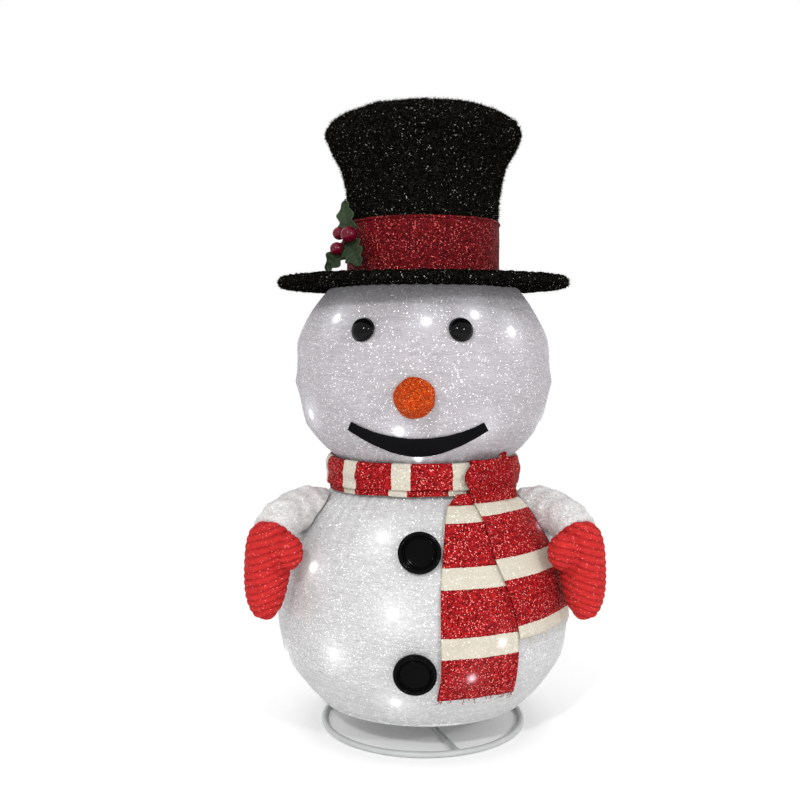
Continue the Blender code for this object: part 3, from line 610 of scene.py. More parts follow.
def foil(name, tones, roughness=0.34, metallic=0.25, stripe=None, emission=0.0, root=None, specular=0.15):
    """The slivers' finish. Each sliver has its own tone, from a list of (share, colour).

    Where a root colour is given, only the slivers' tips have that tone.
    """
    material, tree, shader = new_material(name)
    ramp = add(tree, "ValToRGB", {"Fac": stored(tree, "spark")})
    ramp.color_ramp.interpolation = "CONSTANT"
    position = 0.0
    for i, (share, colour) in enumerate(tones):
        stop = ramp.color_ramp.elements[0] if i == 0 else ramp.color_ramp.elements.new(position)
        stop.color = (*colour, 1)
        position += share
    ramp.color_ramp.elements.remove(ramp.color_ramp.elements[-1])
    colour = ramp.outputs["Color"]
    place = place_of(tree, False)
    if stripe:
        colour = blend_colours(tree, 1.0, colour, stripes(tree, place, *stripe)[0], "MULTIPLY")
    if root:
        tip = calc(tree, "GREATER_THAN", stored(tree, "tip"), 0.70)
        colour = blend_colours(tree, tip, root, colour)
    feed(tree, shader, {
        "Base Color": colour,
        "Roughness": mapped(tree, noise_of(tree, place, 0.002), roughness - 0.1, roughness + 0.15),
        "Metallic": metallic,
        "Specular IOR Level": specular,
        "Emission Color": colour,
        "Emission Strength": emission,
    })
    return material


def plain_finish(name, colour, roughness, grain, relief, metallic=0.0, wear=None, coat=0.0, spread=0.12,
                 specular=0.5):
    """Moulded or painted finishes: uneven colour and gloss, a fine grain, and wear on the edges."""
    material, tree, shader = new_material(name)
    place = place_of(tree, False)
    patches = noise_of(tree, place, 0.020)
    fine = noise_of(tree, place, grain, 4.0)
    base = blend_colours(tree, patches, shade(colour, 1 - spread), shade(colour, 1 + spread))
    if wear:
        edge = add(tree, "NewGeometry").outputs["Pointiness"]
        edge = calc(tree, "ADD", edge, mapped(tree, fine, -0.03, 0.03))
        worn = mapped(tree, calc(tree, "GREATER_THAN", edge, 0.56), 0.0, 0.6)
        base = blend_colours(tree, worn, base, wear)
    feed(tree, shader, {
        "Base Color": base,
        "Roughness": mapped(tree, fine, roughness * 0.8, roughness * 1.25),
        "Normal": fine_relief(tree, fine, 0.6, relief),
        "Metallic": metallic,
        "Coat Weight": coat,
        "Specular IOR Level": specular,
    })
    return material


def printed_sleeve(name):
    """The plain two-colour sleeve on a cell."""
    material, tree, shader = new_material(name)
    place = place_of(tree, False)
    height = add(tree, "SeparateXYZ", {"Vector": place}).outputs[2]
    low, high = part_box("battery_cell_1")
    top = calc(tree, "GREATER_THAN", height, low[2] + 0.7 * (high[2] - low[2]))
    scratches = noise_of(tree, place, 0.0015)
    feed(tree, shader, {
        "Base Color": blend_colours(tree, top, (0.05, 0.16, 0.38), (0.75, 0.76, 0.78)),
        "Roughness": mapped(tree, scratches, 0.25, 0.45),
        "Normal": fine_relief(tree, scratches, 0.3, 0.00005),
        "Metallic": 0.3,
    })
    return material


RED, CREAM = (0.275, 0.0075, 0.0095), (0.525, 0.485, 0.405)
BLACK = (0.0038, 0.0036, 0.0031)
WHITE = (1, 1, 1)

torso_finish = glitter_cloth(
    "torso_glitter_cloth", (0.460, 0.460, 0.460), WHITE, (0.92, 1.08, 1.0), 0.11, strand=0.0011, kept=True,
    glow=(0.05, 0.21, 3.0, (0.95, 0.97, 1.0)), painted_fold_shade=0.045)
head_finish = glitter_cloth(
    "head_glitter_cloth", (0.362, 0.342, 0.362), WHITE, (0.92, 1.08, 1.0), 0.09, strand=0.0011, kept=True,
    glow=(0.04, 0.20, 3.0, (0.93, 0.95, 1.0)), painted_fold_shade=0.06)
sleeve_finish = glitter_cloth(
    "sleeve_glitter_cloth", (0.59, 0.58, 0.57), WHITE, (0.86, 1.10, 1.0), 0.12, strand=0.0011)
skin_foil = foil(
    "skin_foil", ((0.60, (0.37, 0.36, 0.38)), (0.32, (0.52, 0.52, 0.54)), (0.08, WHITE)), emission=0.05)

hat_finish = glitter_cloth(
    "hat_tinsel_cloth", (0.0066, 0.0060, 0.0050), (0.30, 0.30, 0.26), (0.2, 2.2, 3.0), 0.03,
    fleck_size=0.0012, roughness=0.9, relief=0.0008, kept=True, specular=0.0)
hat_foil = foil(
    "hat_foil", ((0.74, (0.006, 0.006, 0.005)), (0.15, (0.05, 0.05, 0.042)), (0.08, (0.22, 0.22, 0.19)),
                 (0.03, (0.85, 0.85, 0.78))),
    roughness=0.8, metallic=0.0, root=BLACK, specular=0.0)
band_finish = glitter_cloth(
    "band_glitter_cloth", (0.104, 0.003, 0.005), (0.72, 0.15, 0.14), (0.30, 1.9, 1.6), 0.13,
    fleck_size=0.0010, specular=0.05)
red_foil = foil(
    "red_foil", ((0.70, (0.085, 0.002, 0.004)), (0.23, (0.28, 0.010, 0.012)), (0.07, (0.72, 0.16, 0.14))),
    specular=0.05)


def scarf_cloth(name, glow=None):
    return glitter_cloth(name, RED, (0.95, 0.27, 0.24), (0.28, 1.75, 1.3), 0.17, kept=True, stripe=CREAM,
                         specular=0.05, glow=glow)


scarf_finish = scarf_cloth("scarf_glitter_cloth")
lit_scarf_finish = scarf_cloth("lit_scarf_cloth", glow=(0.0, 0.02, 1.2, (1.0, 0.85, 0.95)))
# the scarf's brightest slivers have a tone above one: painted glints
scarf_foil = foil(
    "scarf_foil", ((0.45, (0.50, 0.50, 0.50)), (0.40, WHITE), (0.15, (1.7, 2.6, 2.6))),
    stripe=(RED, CREAM), specular=0.05)

nose_finish = glitter_cloth(
    "nose_glitter_cloth", (0.43, 0.042, 0.003), (1.0, 0.42, 0.16), (0.45, 1.5, 1.3), 0.08,
    fleck_size=0.0010, roughness=0.7, specular=0.05)
nose_foil = foil(
    "nose_foil", ((0.55, (0.35, 0.034, 0.003)), (0.37, (0.62, 0.09, 0.008)), (0.08, (1.0, 0.45, 0.2))),
    specular=0.05)
mitten_finish = glitter_cloth(
    "mitten_knit", (0.425, 0.021, 0.021), (1.0, 0.30, 0.27), (0.84, 1.16, 1.0), 0.035,
    fleck_size=0.0009, roughness=0.8, relief=0.0003, painted_rib_shading=True, specular=0.05)

felt_finish = plain_finish(
    "black_felt", (0.006, 0.006, 0.007), 0.95, 0.0007, 0.0005, spread=0.3, specular=0.0)
glossy_black = plain_finish(
    "glossy_black", (0.0022, 0.0022, 0.0024), 0.09, 0.004, 0.00001, spread=0.3, specular=0.035)
eye_gloss = plain_finish(
    "eye_gloss", (0.0020, 0.0020, 0.0023), 0.07, 0.004, 0.00001, spread=0.3, specular=0.12)
white_plastic = plain_finish(
    "satin_white_plastic", (0.78, 0.78, 0.77), 0.42, 0.0008, 0.00006, wear=(0.60, 0.59, 0.57))
enamel = plain_finish(
    "white_enamel_paint", (0.44, 0.455, 0.45), 0.36, 0.003, 0.00012, wear=(0.42, 0.42, 0.41), coat=0.2)
drawn_wire = plain_finish(
    "drawn_wire", (0.52, 0.52, 0.54), 0.34, 0.0006, 0.00004, metallic=1.0, wear=(0.36, 0.34, 0.32))
lead_finish = plain_finish("clear_lead_cover", (0.66, 0.68, 0.64), 0.22, 0.0012, 0.00004, coat=0.3)
leaf_finish = plain_finish(
    "waxy_leaf", (0.024, 0.040, 0.018), 0.50, 0.0025, 0.00025, wear=(0.05, 0.08, 0.04), spread=0.35,
    specular=0.12)
berry_finish = plain_finish(
    "berry_gloss", (0.11, 0.001, 0.012), 0.16, 0.003, 0.00003, spread=0.3, specular=0.25)


# ---------------------------------------------------------------- camera, light and floor

CAMERA_PLACE, CAMERA_TILT, CAMERA_LENS = (-0.0229, -1.0, 0.38), 3.27, 45.18
LIGHTS = (("key", (-0.5, -1.6, 1.2), 12), ("fill", (0.9, -1.4, 0.9), 7))  # name, place and power
LIGHT_SIZE = 0.14
FLOOR_HALF = 4


def camera():
    eye = new_object("camera", bpy.data.cameras.new("camera"))
    eye.location = CAMERA_PLACE
    eye.rotation_euler = (math.radians(90 - CAMERA_TILT), 0, 0)
    eye.data.lens = CAMERA_LENS
    eye.data.sensor_width = 36
    bpy.context.scene.camera = eye


def studio_light():
    world = bpy.data.worlds.new("studio")
    world.use_nodes = True
    world.node_tree.nodes["Background"].inputs["Color"].default_value = (*WHITE, 1)
    world.node_tree.nodes["Background"].inputs["Strength"].default_value = 1.0
    bpy.context.scene.world = world
    bpy.context.scene.view_settings.view_transform = "Standard"
    for name, place, power in LIGHTS:
        light = new_object(name, bpy.data.lights.new(name, "AREA"))
        light.data.size = LIGHT_SIZE
        light.data.energy = power
        light.location = place
        light.rotation_euler = (Vector((0, 0, 0.3)) - Vector(place)).to_track_quat("-Z", "Y").to_euler()


def pale_floor():
    pale, tree, shader = new_material("pale_floor")
    patches = noise_of(tree, place_of(tree, False), 0.4)
    feed(tree, shader, {
        "Base Color": blend_colours(tree, patches, (0.96, 0.96, 0.96), (0.98, 0.98, 0.98)),
        "Roughness": 0.9,
        "Emission Color": (*WHITE, 1),
        "Emission Strength": 0.03,
    })
    corners = [(FLOOR_HALF * x, FLOOR_HALF * y, 0) for x, y in ((-1, -1), (1, -1), (1, 1), (-1, 1))]
    floor = make("floor", corners, [(0, 1, 2, 3)], pale)
    floor.location.z = -0.0003


# ---------------------------------------------------------------- how pieces ride


def on_torso(piece, slot, *nodes):
    """A piece of the torso's cloth, which flattens towards the floor as the figure folds:
    here it only goes on the base, with a mesh of its own.
    """
    mount(piece, "base", slot, *nodes)
    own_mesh(piece)


def on_head(piece, slot, *nodes):
    """A piece of the head's cloth, which flattens towards the neck as the figure folds:
    here it only goes on the neck, with a mesh of its own.
    """
    mount(piece, "neck", slot, *nodes)
    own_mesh(piece)


def on_crown(piece, slot, *nodes):
    """A piece of the hat's wall, which flattens towards the band as the hat folds:
    here it only goes on the hat, with a mesh of its own.
    """
    mount(piece, "hat", slot, *nodes)
    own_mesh(piece)


def on_neck(piece, slot, *nodes):
    """A piece of the scarf round the neck, which is squeezed as the torso below it flattens:
    here it only goes on the neck, with a mesh of its own.
    """
    mount(piece, "neck", slot, *nodes)
    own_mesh(piece)


def on_lid(piece, slot, *nodes):
    mount(piece, "crown_top", slot, *nodes)


def on_hat(piece, slot, *nodes):
    mount(piece, "hat", slot, *nodes)


def mount(piece, body, slot, *nodes):
    """Puts a piece on a body and hides the CAD nodes that it stands in for. Its material slot is not used."""
    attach(piece, body)
    if nodes:
        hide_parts(*nodes)


def mount_cloth(cloth, thickness, put, slot, nodes, extras, offset=-1, **held):
    """Thickens a cloth and mounts it with the pieces that go with it. How it is held is not used."""
    thicken(cloth, thickness, offset)
    mark_place(cloth)
    put(cloth, slot, *nodes)
    for piece in extras:
        put(piece, slot)


# ---------------------------------------------------------------- torso and head

def skin(name, form, low, high, hoops, bulbs, finish, seed):
    """Cloth drawn over hoops: it sags a little between them and gathers where the body narrows."""
    rows, columns = 112, 300
    stops = (low, *hoops, high)

    def point(azimuth, radius, z):
        spot = around(azimuth, radius, z)
        start, end = next((a, b) for a, b in zip(stops, stops[1:]) if z <= b + 1e-9)
        sag = max(0, SAG * math.sin(math.pi * (z - start) / (end - start)))
        sag *= 1 + ripple(spot, 0.06, 0.8, seed + 5)
        pleat = PLEAT_DEPTH * (1 - radius / form[0]) * math.sin(
            math.radians(azimuth) * PLEATS + 3 * ripple(spot, 0.05, 1, seed))
        return skin_point(azimuth, z, form, pleat - sag + ripple(spot, 0.035, 0.0007, seed))

    profile = []
    for i in range(rows + 1):
        crowded = 0.5 - 0.5 * math.cos(math.pi * i / rows)  # rows lie closer together at both ends
        z = low + (high - low) * crowded * 0.6 + (high - low) * i / rows * 0.4
        profile.append((bulge(z, form), z))
    cloth = grid(name, ring_rows(profile, columns, point), finish, closed=True)
    mark_bulbs(cloth, bulbs, form)
    return cloth


def hem(name, form, z, finish):
    """The rolled hem at the open edge of a body's cloth."""
    centre = bulge(z, form) - 0.0010
    outline = [(centre + 0.0014 * math.cos(a), z + 0.0014 * math.sin(a))
               for a in (math.tau * i / 10 - math.pi / 2 for i in range(10))]
    return turned(name, outline, finish, 160, closed=True)


def bodies_of_cloth():
    body_of_cloth("torso", TORSO, BOTTOM_Z + 0.0015, NECK_Z - 0.0015, TORSO_HOOPS, TORSO_BULBS, torso_finish,
                  on_torso, 12000, 3)
    body_of_cloth("head", HEAD, NECK_Z + 0.0015, BRIM_Z + 0.0010, HEAD_HOOPS, HEAD_BULBS, head_finish,
                  on_head, 9000, 8)


def body_of_cloth(name, form, low, high, hoops, bulbs, finish, put, slivers, seed):
    """The torso or the head: its cloth, the slivers on it and the hem at its foot."""
    cloth = skin(f"{name}_cloth", form, low, high, hoops, bulbs, finish, seed)
    sparkle = tinsel(f"{name}_foil", cloth, slivers, 0.0028, 0.00030, 0.45, skin_foil, 11 + len(name),
                     along=0.6)
    edge = hem(f"{name}_hem", form, low + 0.0012, finish)
    mark_bulbs(edge, bulbs, form)
    mark_place(edge)
    girth = math.tau * form[0]
    mean_girth = math.tau * np.mean([bulge(z, form) for z in np.linspace(low, high, 60)])
    inner = np.linspace(low + 0.001, high - 0.001, 60)
    length = sum(math.hypot(slope(z, form), 1) for z in inner) / 60 * (high - low)
    mount_cloth(cloth, SKIN, put, "skin_fabric", [f"{name}_skin"], [sparkle, edge],
                flat=(girth, length), held="stretched", area=mean_girth * length,
                rests_on=[f"{name}_hoop_{level}" for level in ("low", "mid", "high")])


def face():
    for side, x in (("right", -EYE_X), ("left", EYE_X)):
        matrix = skin_frame(HEAD, EYES_MIDDLE_X + x, EYE_Z, LIFT)
        eye = turned(f"{side}_eye_dome", eye_outline(), eye_gloss, 56, matrix)
        mount(eye, "head_high", "black_plastic", f"{side}_eye")
    nose()
    mouth()


def eye_outline():
    """A shank, a thin flange and a dome."""
    outline = [*SHANK, (EYE_BALL - 0.0004, 0), (EYE_BALL, 0.0004), (EYE_BALL, 0.0013),
               (EYE_BALL - 0.0005, 0.0018)]
    ball = EYE_BALL - 0.0007
    outline += [(ball * math.cos(math.radians(a)), 0.0018 + 0.0072 * math.sin(math.radians(a)))
                for a in range(0, 90, 9)]
    return outline + [(0, 0.0090)]


def nose():
    """A stuffed blunt cone, slightly lumpy, with the cloth gathered at its foot."""
    matrix = skin_frame(HEAD, NOSE_X, NOSE_Z, LIFT)
    outline = [(0, 0), (NOSE_RADIUS * 0.80, 0), (NOSE_RADIUS * 0.93, 0.0010)]
    for i in range(1, 24):
        share = i / 24
        taper = (1 - 0.5 * share) * math.cos(share * math.pi / 2) ** 0.4
        outline.append((NOSE_RADIUS * taper * (1 - 0.06 * math.exp(-share * 30)), NOSE_LENGTH * share))
    carrot = turned("nose_cone", outline + [(0, NOSE_LENGTH)], nose_finish, 72, matrix)
    swell(carrot, 0.0022, 0.0015)
    uneven(carrot, 0.010, 0.0008)
    fuzz = tinsel("nose_foil", carrot, 1800, 0.0022, 0.00028, 0.6, nose_foil, 21)
    mount(carrot, "head_mid", "nose_fabric", "nose")
    mount(fuzz, "head_mid", "nose_fabric")


def points_and_normals(piece):
    """The vertices of a piece, each with its normal before anything is moved."""
    return [(vertex, vertex.normal.copy()) for vertex in piece.data.vertices]


def uneven(piece, size, depth):
    """Moves each point along its normal by smooth noise."""
    for vertex, normal in points_and_normals(piece):
        vertex.co += normal * ripple(vertex.co, size, depth, 1.0)
    piece.data.update()


def mouth():
    """A crescent of black felt, lowest in the middle and cut square at its ends."""
    def point(up, across):
        share, height = 2 * across - 1, 2 * up - 1
        middle = MOUTH_MIDDLE_Z + MOUTH_RISE * share * share
        half = MOUTH_HALF_HEIGHT - MOUTH_TAPER * share * share
        z = middle + half * height + ripple((share, 0.8 * up, 0), 0.02, 0.0004)
        spread = MOUTH_HALF_AZIMUTH - 1.5 * height * abs(share) ** 3
        off = 0.0022 + ripple((share, z * 9, 0), 0.09, 0.0004)
        return skin_point(MOUTH_AZIMUTH + spread * share, z, HEAD, off)

    felt = grid("felt_mouth", sheet_rows(8, 90, point), felt_finish)
    mount_cloth(felt, FELT, on_head, "felt", ["mouth"], [],
                flat=MOUTH_FLAT, held="stretched", area=MOUTH_AREA, rests_on=["head_cloth"])


def buttons():
    """A rounded rim round a shallow dish, with a shank behind."""
    outline = [*SHANK, *((BUTTON_RADIUS * share, height) for share, height in BUTTON_FORM)]
    for name, (x, z, body) in BUTTONS.items():
        button = turned(f"{name}_rimmed_button", outline, glossy_black, 72, skin_frame(TORSO, x, z, LIFT))
        mount(button, body, "black_plastic", f"{name}_button")


# ---------------------------------------------------------------- stuffed arms

def swell(piece, voxel, limit):
    """Remeshes a stuffed piece and lets its filling press the cloth out, by no more than a limit."""
    modify(piece, "REMESH", mode="VOXEL", voxel_size=voxel, adaptivity=0)
    settle(piece)
    modify(piece, "SMOOTH", factor=0.5, iterations=4)
    settle(piece)
    before = coordinates_of(piece)
    cloth = piece.modifiers.new("filling", "CLOTH")
    cloth.settings.use_pressure = True
    cloth.settings.uniform_pressure_force = 4
    cloth.settings.quality = 5
    cloth.settings.effector_weights.gravity = 0
    for step in range(1, 21):
        bpy.context.scene.frame_set(step)
    graph = bpy.context.evaluated_depsgraph_get()
    swollen = bpy.data.meshes.new_from_object(piece.evaluated_get(graph))
    after = np.empty(len(swollen.vertices) * 3)
    swollen.vertices.foreach_get("co", after)
    move = after.reshape(-1, 3) - before
    far = np.linalg.norm(move, axis=1, keepdims=True)
    move *= np.minimum(1, limit / np.maximum(far, 1e-9))
    piece.modifiers.clear()
    piece.data.vertices.foreach_set("co", (before + move).ravel())
    bpy.data.meshes.remove(swollen)
    bpy.context.scene.frame_set(1)
    subdivide(piece)


def mirrored(name, piece):
    """The same piece on the other side of the body."""
    copy = new_object(name, piece.data.copy())
    copy.data.transform(Matrix.Diagonal((-1, 1, 1, 1)))
    copy.data.flip_normals()
    return copy


def clear_of_torso(piece, gap):
    """Presses what would be inside the torso flat against its cloth."""
    for vertex in piece.data.vertices:
        radius = math.hypot(vertex.co.x, vertex.co.y)
        wall = bulge(vertex.co.z, TORSO) + gap
        if radius < wall:
            vertex.co.x *= wall / radius
            vertex.co.y *= wall / radius
    piece.data.update()


def arms():
    sleeve = stuffed_sleeve()
    mitten = ribbed_mitten()
    for side, pieces in (("left", (sleeve, mitten)),
                         ("right", (mirrored("right_stuffed_sleeve", sleeve),
                                    mirrored("right_ribbed_mitten", mitten)))):
        for piece, slot, node in zip(pieces, ("skin_fabric", "mitten_knit"), ("sleeve", "mitten")):
            mount(piece, f"{side}_arm", slot, f"{side}_{node}")
        shine = tinsel(f"{side}_sleeve_foil", pieces[0], 2200, 0.0028, 0.0003, 0.6, skin_foil, 31 + len(side),
                       where=lambda spot: math.hypot(spot[0], spot[1]) > bulge(spot[2], TORSO) + 0.0035)
        mount(shine, f"{side}_arm", "skin_fabric")


def stuffed_sleeve():
    """A white sleeve that bends from the shoulder down into the mitten, creased on the inside of the bend."""
    route = smooth_path(SLEEVE, 8)
    radii = [r[3] * (1 + 0.05 * math.sin(i * 0.9)) for i, r in enumerate(route)]
    radii[0] *= 0.9
    sleeve = tube("left_stuffed_sleeve", [r[:3] for r in route], radii, 40, sleeve_finish)
    swell(sleeve, 0.0035, 0.0020)
    uneven(sleeve, 0.012, 0.0016)
    clear_of_torso(sleeve, 0.0009)
    return sleeve


def ribbed_mitten():
    """A red mitten with slanting knitted ribs, its thumb towards the front."""
    route = smooth_path([(*point, radius) for point, radius in MITTEN], 6)
    hand = tube("left_ribbed_mitten", [r[:3] for r in route], [r[3] for r in route], 40, mitten_finish)
    thumb = ellipsoid("thumb", *map(Vector, THUMB), mitten_finish)
    join(hand, [thumb])
    swell(hand, 0.0026, 0.0016)
    subdivide(hand)
    thumb_crease(hand)
    ribs(hand)
    clear_of_torso(hand, 0.0030)
    return hand


def thumb_crease(hand):
    """The seam round the foot of the thumb, drawn in where the thumb meets the palm."""
    centre, size = map(Vector, THUMB)
    for vertex, normal in points_and_normals(hand):
        offset = vertex.co - centre
        reach = math.sqrt(sum((offset[i] / size[i]) ** 2 for i in range(3)))
        towards_palm = max(0, min(1, 40 * offset.x + 0.45 - 15 * offset.z))
        vertex.co -= normal * CREASE_DEPTH * towards_palm * math.exp(-((reach - 1.05) / 0.18) ** 2)
    hand.data.update()


def ribs(hand):
    """Rounded ribs, nearly level, that fall towards the outside of the hand, with narrow furrows between.
    It also stores how much painted shade darkens the knit at each point, most in the furrows.
    """
    axis = [Vector(point) for point, _ in MITTEN]
    painted_rib_shading = []
    for vertex, normal in points_and_normals(hand):
        centre = min(axis, key=lambda point: (point - vertex.co).length)
        outward = vertex.co.x - centre.x
        phase = (vertex.co.z + 0.32 * outward + ripple(vertex.co, 0.018, 0.0018)) / RIB * math.pi
        crest = abs(math.cos(phase)) ** 0.6
        # how much painted shade darkens the knit here, most in the furrows between ribs
        painted_rib_shading.append((1 - crest) ** 1.3 * (0.9 + ripple(vertex.co, 0.012, 0.5, 3)))
        vertex.co += normal * RIB_HEIGHT * (1.7 * crest - 1.2)
    mark(hand, "rib_shade", painted_rib_shading)
    hand.data.update()


# ---------------------------------------------------------------- scarf

def scarf():
    collar()
    knot()
    for side in TAILS:
        tail(side)


def collar():
    """The scarf folded lengthwise round the neck: a rolled upper fold over a lower layer."""
    for number, (name, outline, depth, shift) in enumerate(COLLAR_LAYERS):
        profile = smooth_path(outline, 6)[::-1]
        rows = [[collar_point(360 * c / 220, radius, z, 1 - i / len(profile), depth, 4 + number)
                 for c in range(220)] for i, (radius, z) in enumerate(profile)]
        cloth = grid(name, rows, scarf_finish, closed=True)
        mark(cloth, "along", stripes_round_neck(cloth) + shift)
        fuzz = tinsel(f"{name}_foil", cloth, 3200 if number else 1400, 0.0019, 0.00028, 0.55, scarf_foil,
                      41 + number)
        run = sum(math.dist(a, b) for a, b in zip(outline, outline[1:]))
        mount_cloth(cloth, SCARF_CLOTH, on_neck, "scarf_fabric", ["scarf_collar"] if number else [], [fuzz],
                    flat=(math.tau * COLLAR_FLAT_RADIUS, run), held="folded",
                    rests_on=["head_cloth", "torso_cloth"])


def collar_point(azimuth, radius, z, looseness, depth, seed):
    """A point of the collar, pushed out or in by its folds, and up or down where its edge is loose."""
    spot = around(azimuth, radius, z)
    fold = ripple((spot.x, spot.y, z * 2.5), 0.016, depth, seed)
    fold += 0.0004 * math.sin(z * 420 + 3 * ripple(spot, 0.03, 1, 7))
    low = math.cos(math.radians(azimuth * 3)) * 0.0012 + ripple(spot, 0.03, 0.0018, 9)
    return around(azimuth, radius + fold, z + low * looseness)


def stripes_round_neck(cloth):
    """How far along the scarf each point of the collar is. At the back the stripes are a little narrower."""
    points = coordinates_of(cloth)
    azimuth = np.degrees(np.arctan2(points[:, 0], -points[:, 1]))
    azimuth = (azimuth - COLLAR_ENDS) % 360 + COLLAR_ENDS - 360
    stretched = (azimuth - COLLAR_BACK) * BACK_STRETCH + COLLAR_BACK
    azimuth = np.where(azimuth < COLLAR_BACK, stretched, azimuth)
    return (azimuth - COLLAR_STRIPE_START) / COLLAR_STRIPE_TURN * STRIPE


def knot():
    """The side tail's upper end, wrapped over the collar and tucked in behind it, with a loose corner."""
    rows, columns = 44, 48

    def point(up, across):
        left = 25.0 - 5.0 * math.sin(math.pi * min(1, up * 1.1)) ** 2 + 1.0 * up
        right = 57.0 - 5.5 * up
        tuck = max(0.0, up - 0.82) / 0.18
        edge = 1 - 0.5 * abs(2 * across - 1) ** 9
        fold = 0.0006 * math.sin(across * 13 + 2.5 * up) + ripple((across, up, 0), 0.3, 0.0009)
        z = 0.2400 + 0.0335 * min(1, up * 1.2) - 0.0030 * tuck
        z += 0.0045 * (across - 0.35) * (1 - up) + ripple((across, 0, 0), 0.12, 0.0014) * up
        radius = 0.0985 + 0.0055 * edge * (1 - 0.35 * (2 * up - 1) ** 2) - 0.0115 * tuck ** 1.7 + fold
        return around(left + (right - left) * across, radius, z)

    cloth = grid("knot_wrap", sheet_rows(rows, columns, point), scarf_finish)
    mark(cloth, "along", np.repeat(np.linspace(0.0005, 0.038, rows + 1), columns))
    fuzz = tinsel("knot_foil", cloth, 2400, 0.0020, 0.00034, 0.8, scarf_foil, 51)
    join(cloth, [scarf_corner()])
    mount_cloth(cloth, WRAP_CLOTH, on_neck, "scarf_fabric", ["scarf_knot"], [fuzz], flat=(0.058, 0.050),
                held="folded", rests_on=["collar_fold"])


def scarf_corner():
    """The corner of the tucked end, which sticks out above the wrap."""
    def point(up, across):
        azimuth = 49.0 + 3.5 * up + (across - 0.5) * 6.5 * (1 - 0.55 * up)
        radius = 0.0975 - 0.0020 * up + ripple((across, up, 3), 0.4, 0.0012)
        return around(azimuth, radius, 0.2690 + 0.0135 * up + 0.0015 * (across - 0.5))

    corner = grid("scarf_corner", sheet_rows(8, 9, point), scarf_finish)
    mark(corner, "along", [0.02] * len(corner.data.vertices))
    return corner


def tail(side):
    """A hanging end of the scarf. It hangs straight from the collar, then lies on the torso."""
    edges, lift, offset, slant = TAILS[side]
    route = smooth_path(edges, 9)[::-1]
    middles = [skin_point((left + right) / 2, z, TORSO) for z, left, right in route]
    down = np.cumsum([0.0] + [(b - a).length for a, b in zip(middles, middles[1:])])
    columns = 36
    rows = []
    for i, (z, left, right) in enumerate(route):
        row = []
        for c in range(columns):
            across = c / (columns - 1)
            azimuth = left + (right - left) * across
            height = min(z + slant * (across - 0.25) * (1 - i / len(route)), TAIL_TOP)
            wave = ripple((azimuth * 0.0026, 0, height), 0.020, 0.0012, 12 + lift * 1000)
            curl = 0.0012 * abs(2 * across - 1) ** 6 * (0.5 + ripple((across, 0, height), 0.03, 0.5))
            point = skin_point(azimuth, height, TORSO, lift + max(-0.0006, wave) + curl)
            hang = HANG_RADIUS + lift + wave
            if math.hypot(point.x, point.y) < hang:
                point = around(azimuth, hang, height)
            row.append(point)
        rows.append(row)
    cloth = grid(f"{side}_tail_cloth", rows, lit_scarf_finish)
    mark(cloth, "along", np.repeat(down + offset, columns))
    mark_bulbs(cloth, TORSO_BULBS, TORSO)
    fuzz = tinsel(f"{side}_tail_foil", cloth, 3000, 0.0019, 0.00028, 0.5, scarf_foil, 61 + len(side))
    fringe = loose_threads(side)
    mount_cloth(cloth, SCARF_CLOTH, on_torso, "scarf_fabric", [f"scarf_{side}_tail"], [fuzz, fringe],
                offset=1, flat=(TAIL_WIDTH, float(down[-1])), held="hung",
                rests_on=["scarf_collar", "torso_cloth"])


def loose_threads(side):
    """A few threads that hang from a tail's cut end, most at its corners."""
    rng = np.random.default_rng(71 + len(side))
    edges, lift, offset, slant = TAILS[side]
    z, left, right = edges[-1]
    threads = []
    for i in range(16):
        across = float(rng.beta(0.5, 0.5))
        azimuth = left + (right - left) * across
        start = z + slant * (across - 0.25) + 0.0012
        length = rng.uniform(0.003, 0.009)
        path = [skin_point(azimuth + rng.uniform(-1.6, 1.6) * t * t, start - length * t, TORSO, lift + 0.0006)
                for t in np.linspace(0, 1, 6)]
        threads.append(tube("thread", path, [0.00028] * 5 + [0.00016], 5, scarf_finish))
    fringe = threads[0]
    fringe.name = f"{side}_tail_fringe"
    join(fringe, threads[1:])
    mark(fringe, "along", [offset + 0.01] * len(fringe.data.vertices))
    mark_place(fringe)
    return fringe


# ---------------------------------------------------------------- hat

def revolved_cloth(name, outline, finish, columns=320, depth=0.0010, seed=1.0, steps=12, lumps=0.0,
                   lumps_above=0.0):
    """A surface of revolution with a slightly uneven run, and small lumps where the cloth is shaggy."""
    def point(azimuth, radius, z):
        spot = around(azimuth, radius, z)
        lump = ripple(spot, 0.0040, lumps, seed + 9) * max(0, min(1, (z - lumps_above) / 0.004))
        out = (ripple(spot, 0.022, depth, seed) + lump) * (radius > 0.01)
        up = ripple(spot, 0.03, depth, seed + 3) * (radius < 0.09) + lump * 0.7
        return around(azimuth, max(0.0, radius + out), z + up)

    return grid(name, ring_rows(smooth_path(outline, steps), columns, point), finish, closed=True)


def hat_fuzz(name, cloth, count, length, seed, where=None):
    """The tinsel that stands on the hat's cloth."""
    return tinsel(name, cloth, count, length, 0.00060, 1.0, hat_foil, seed, where=where)


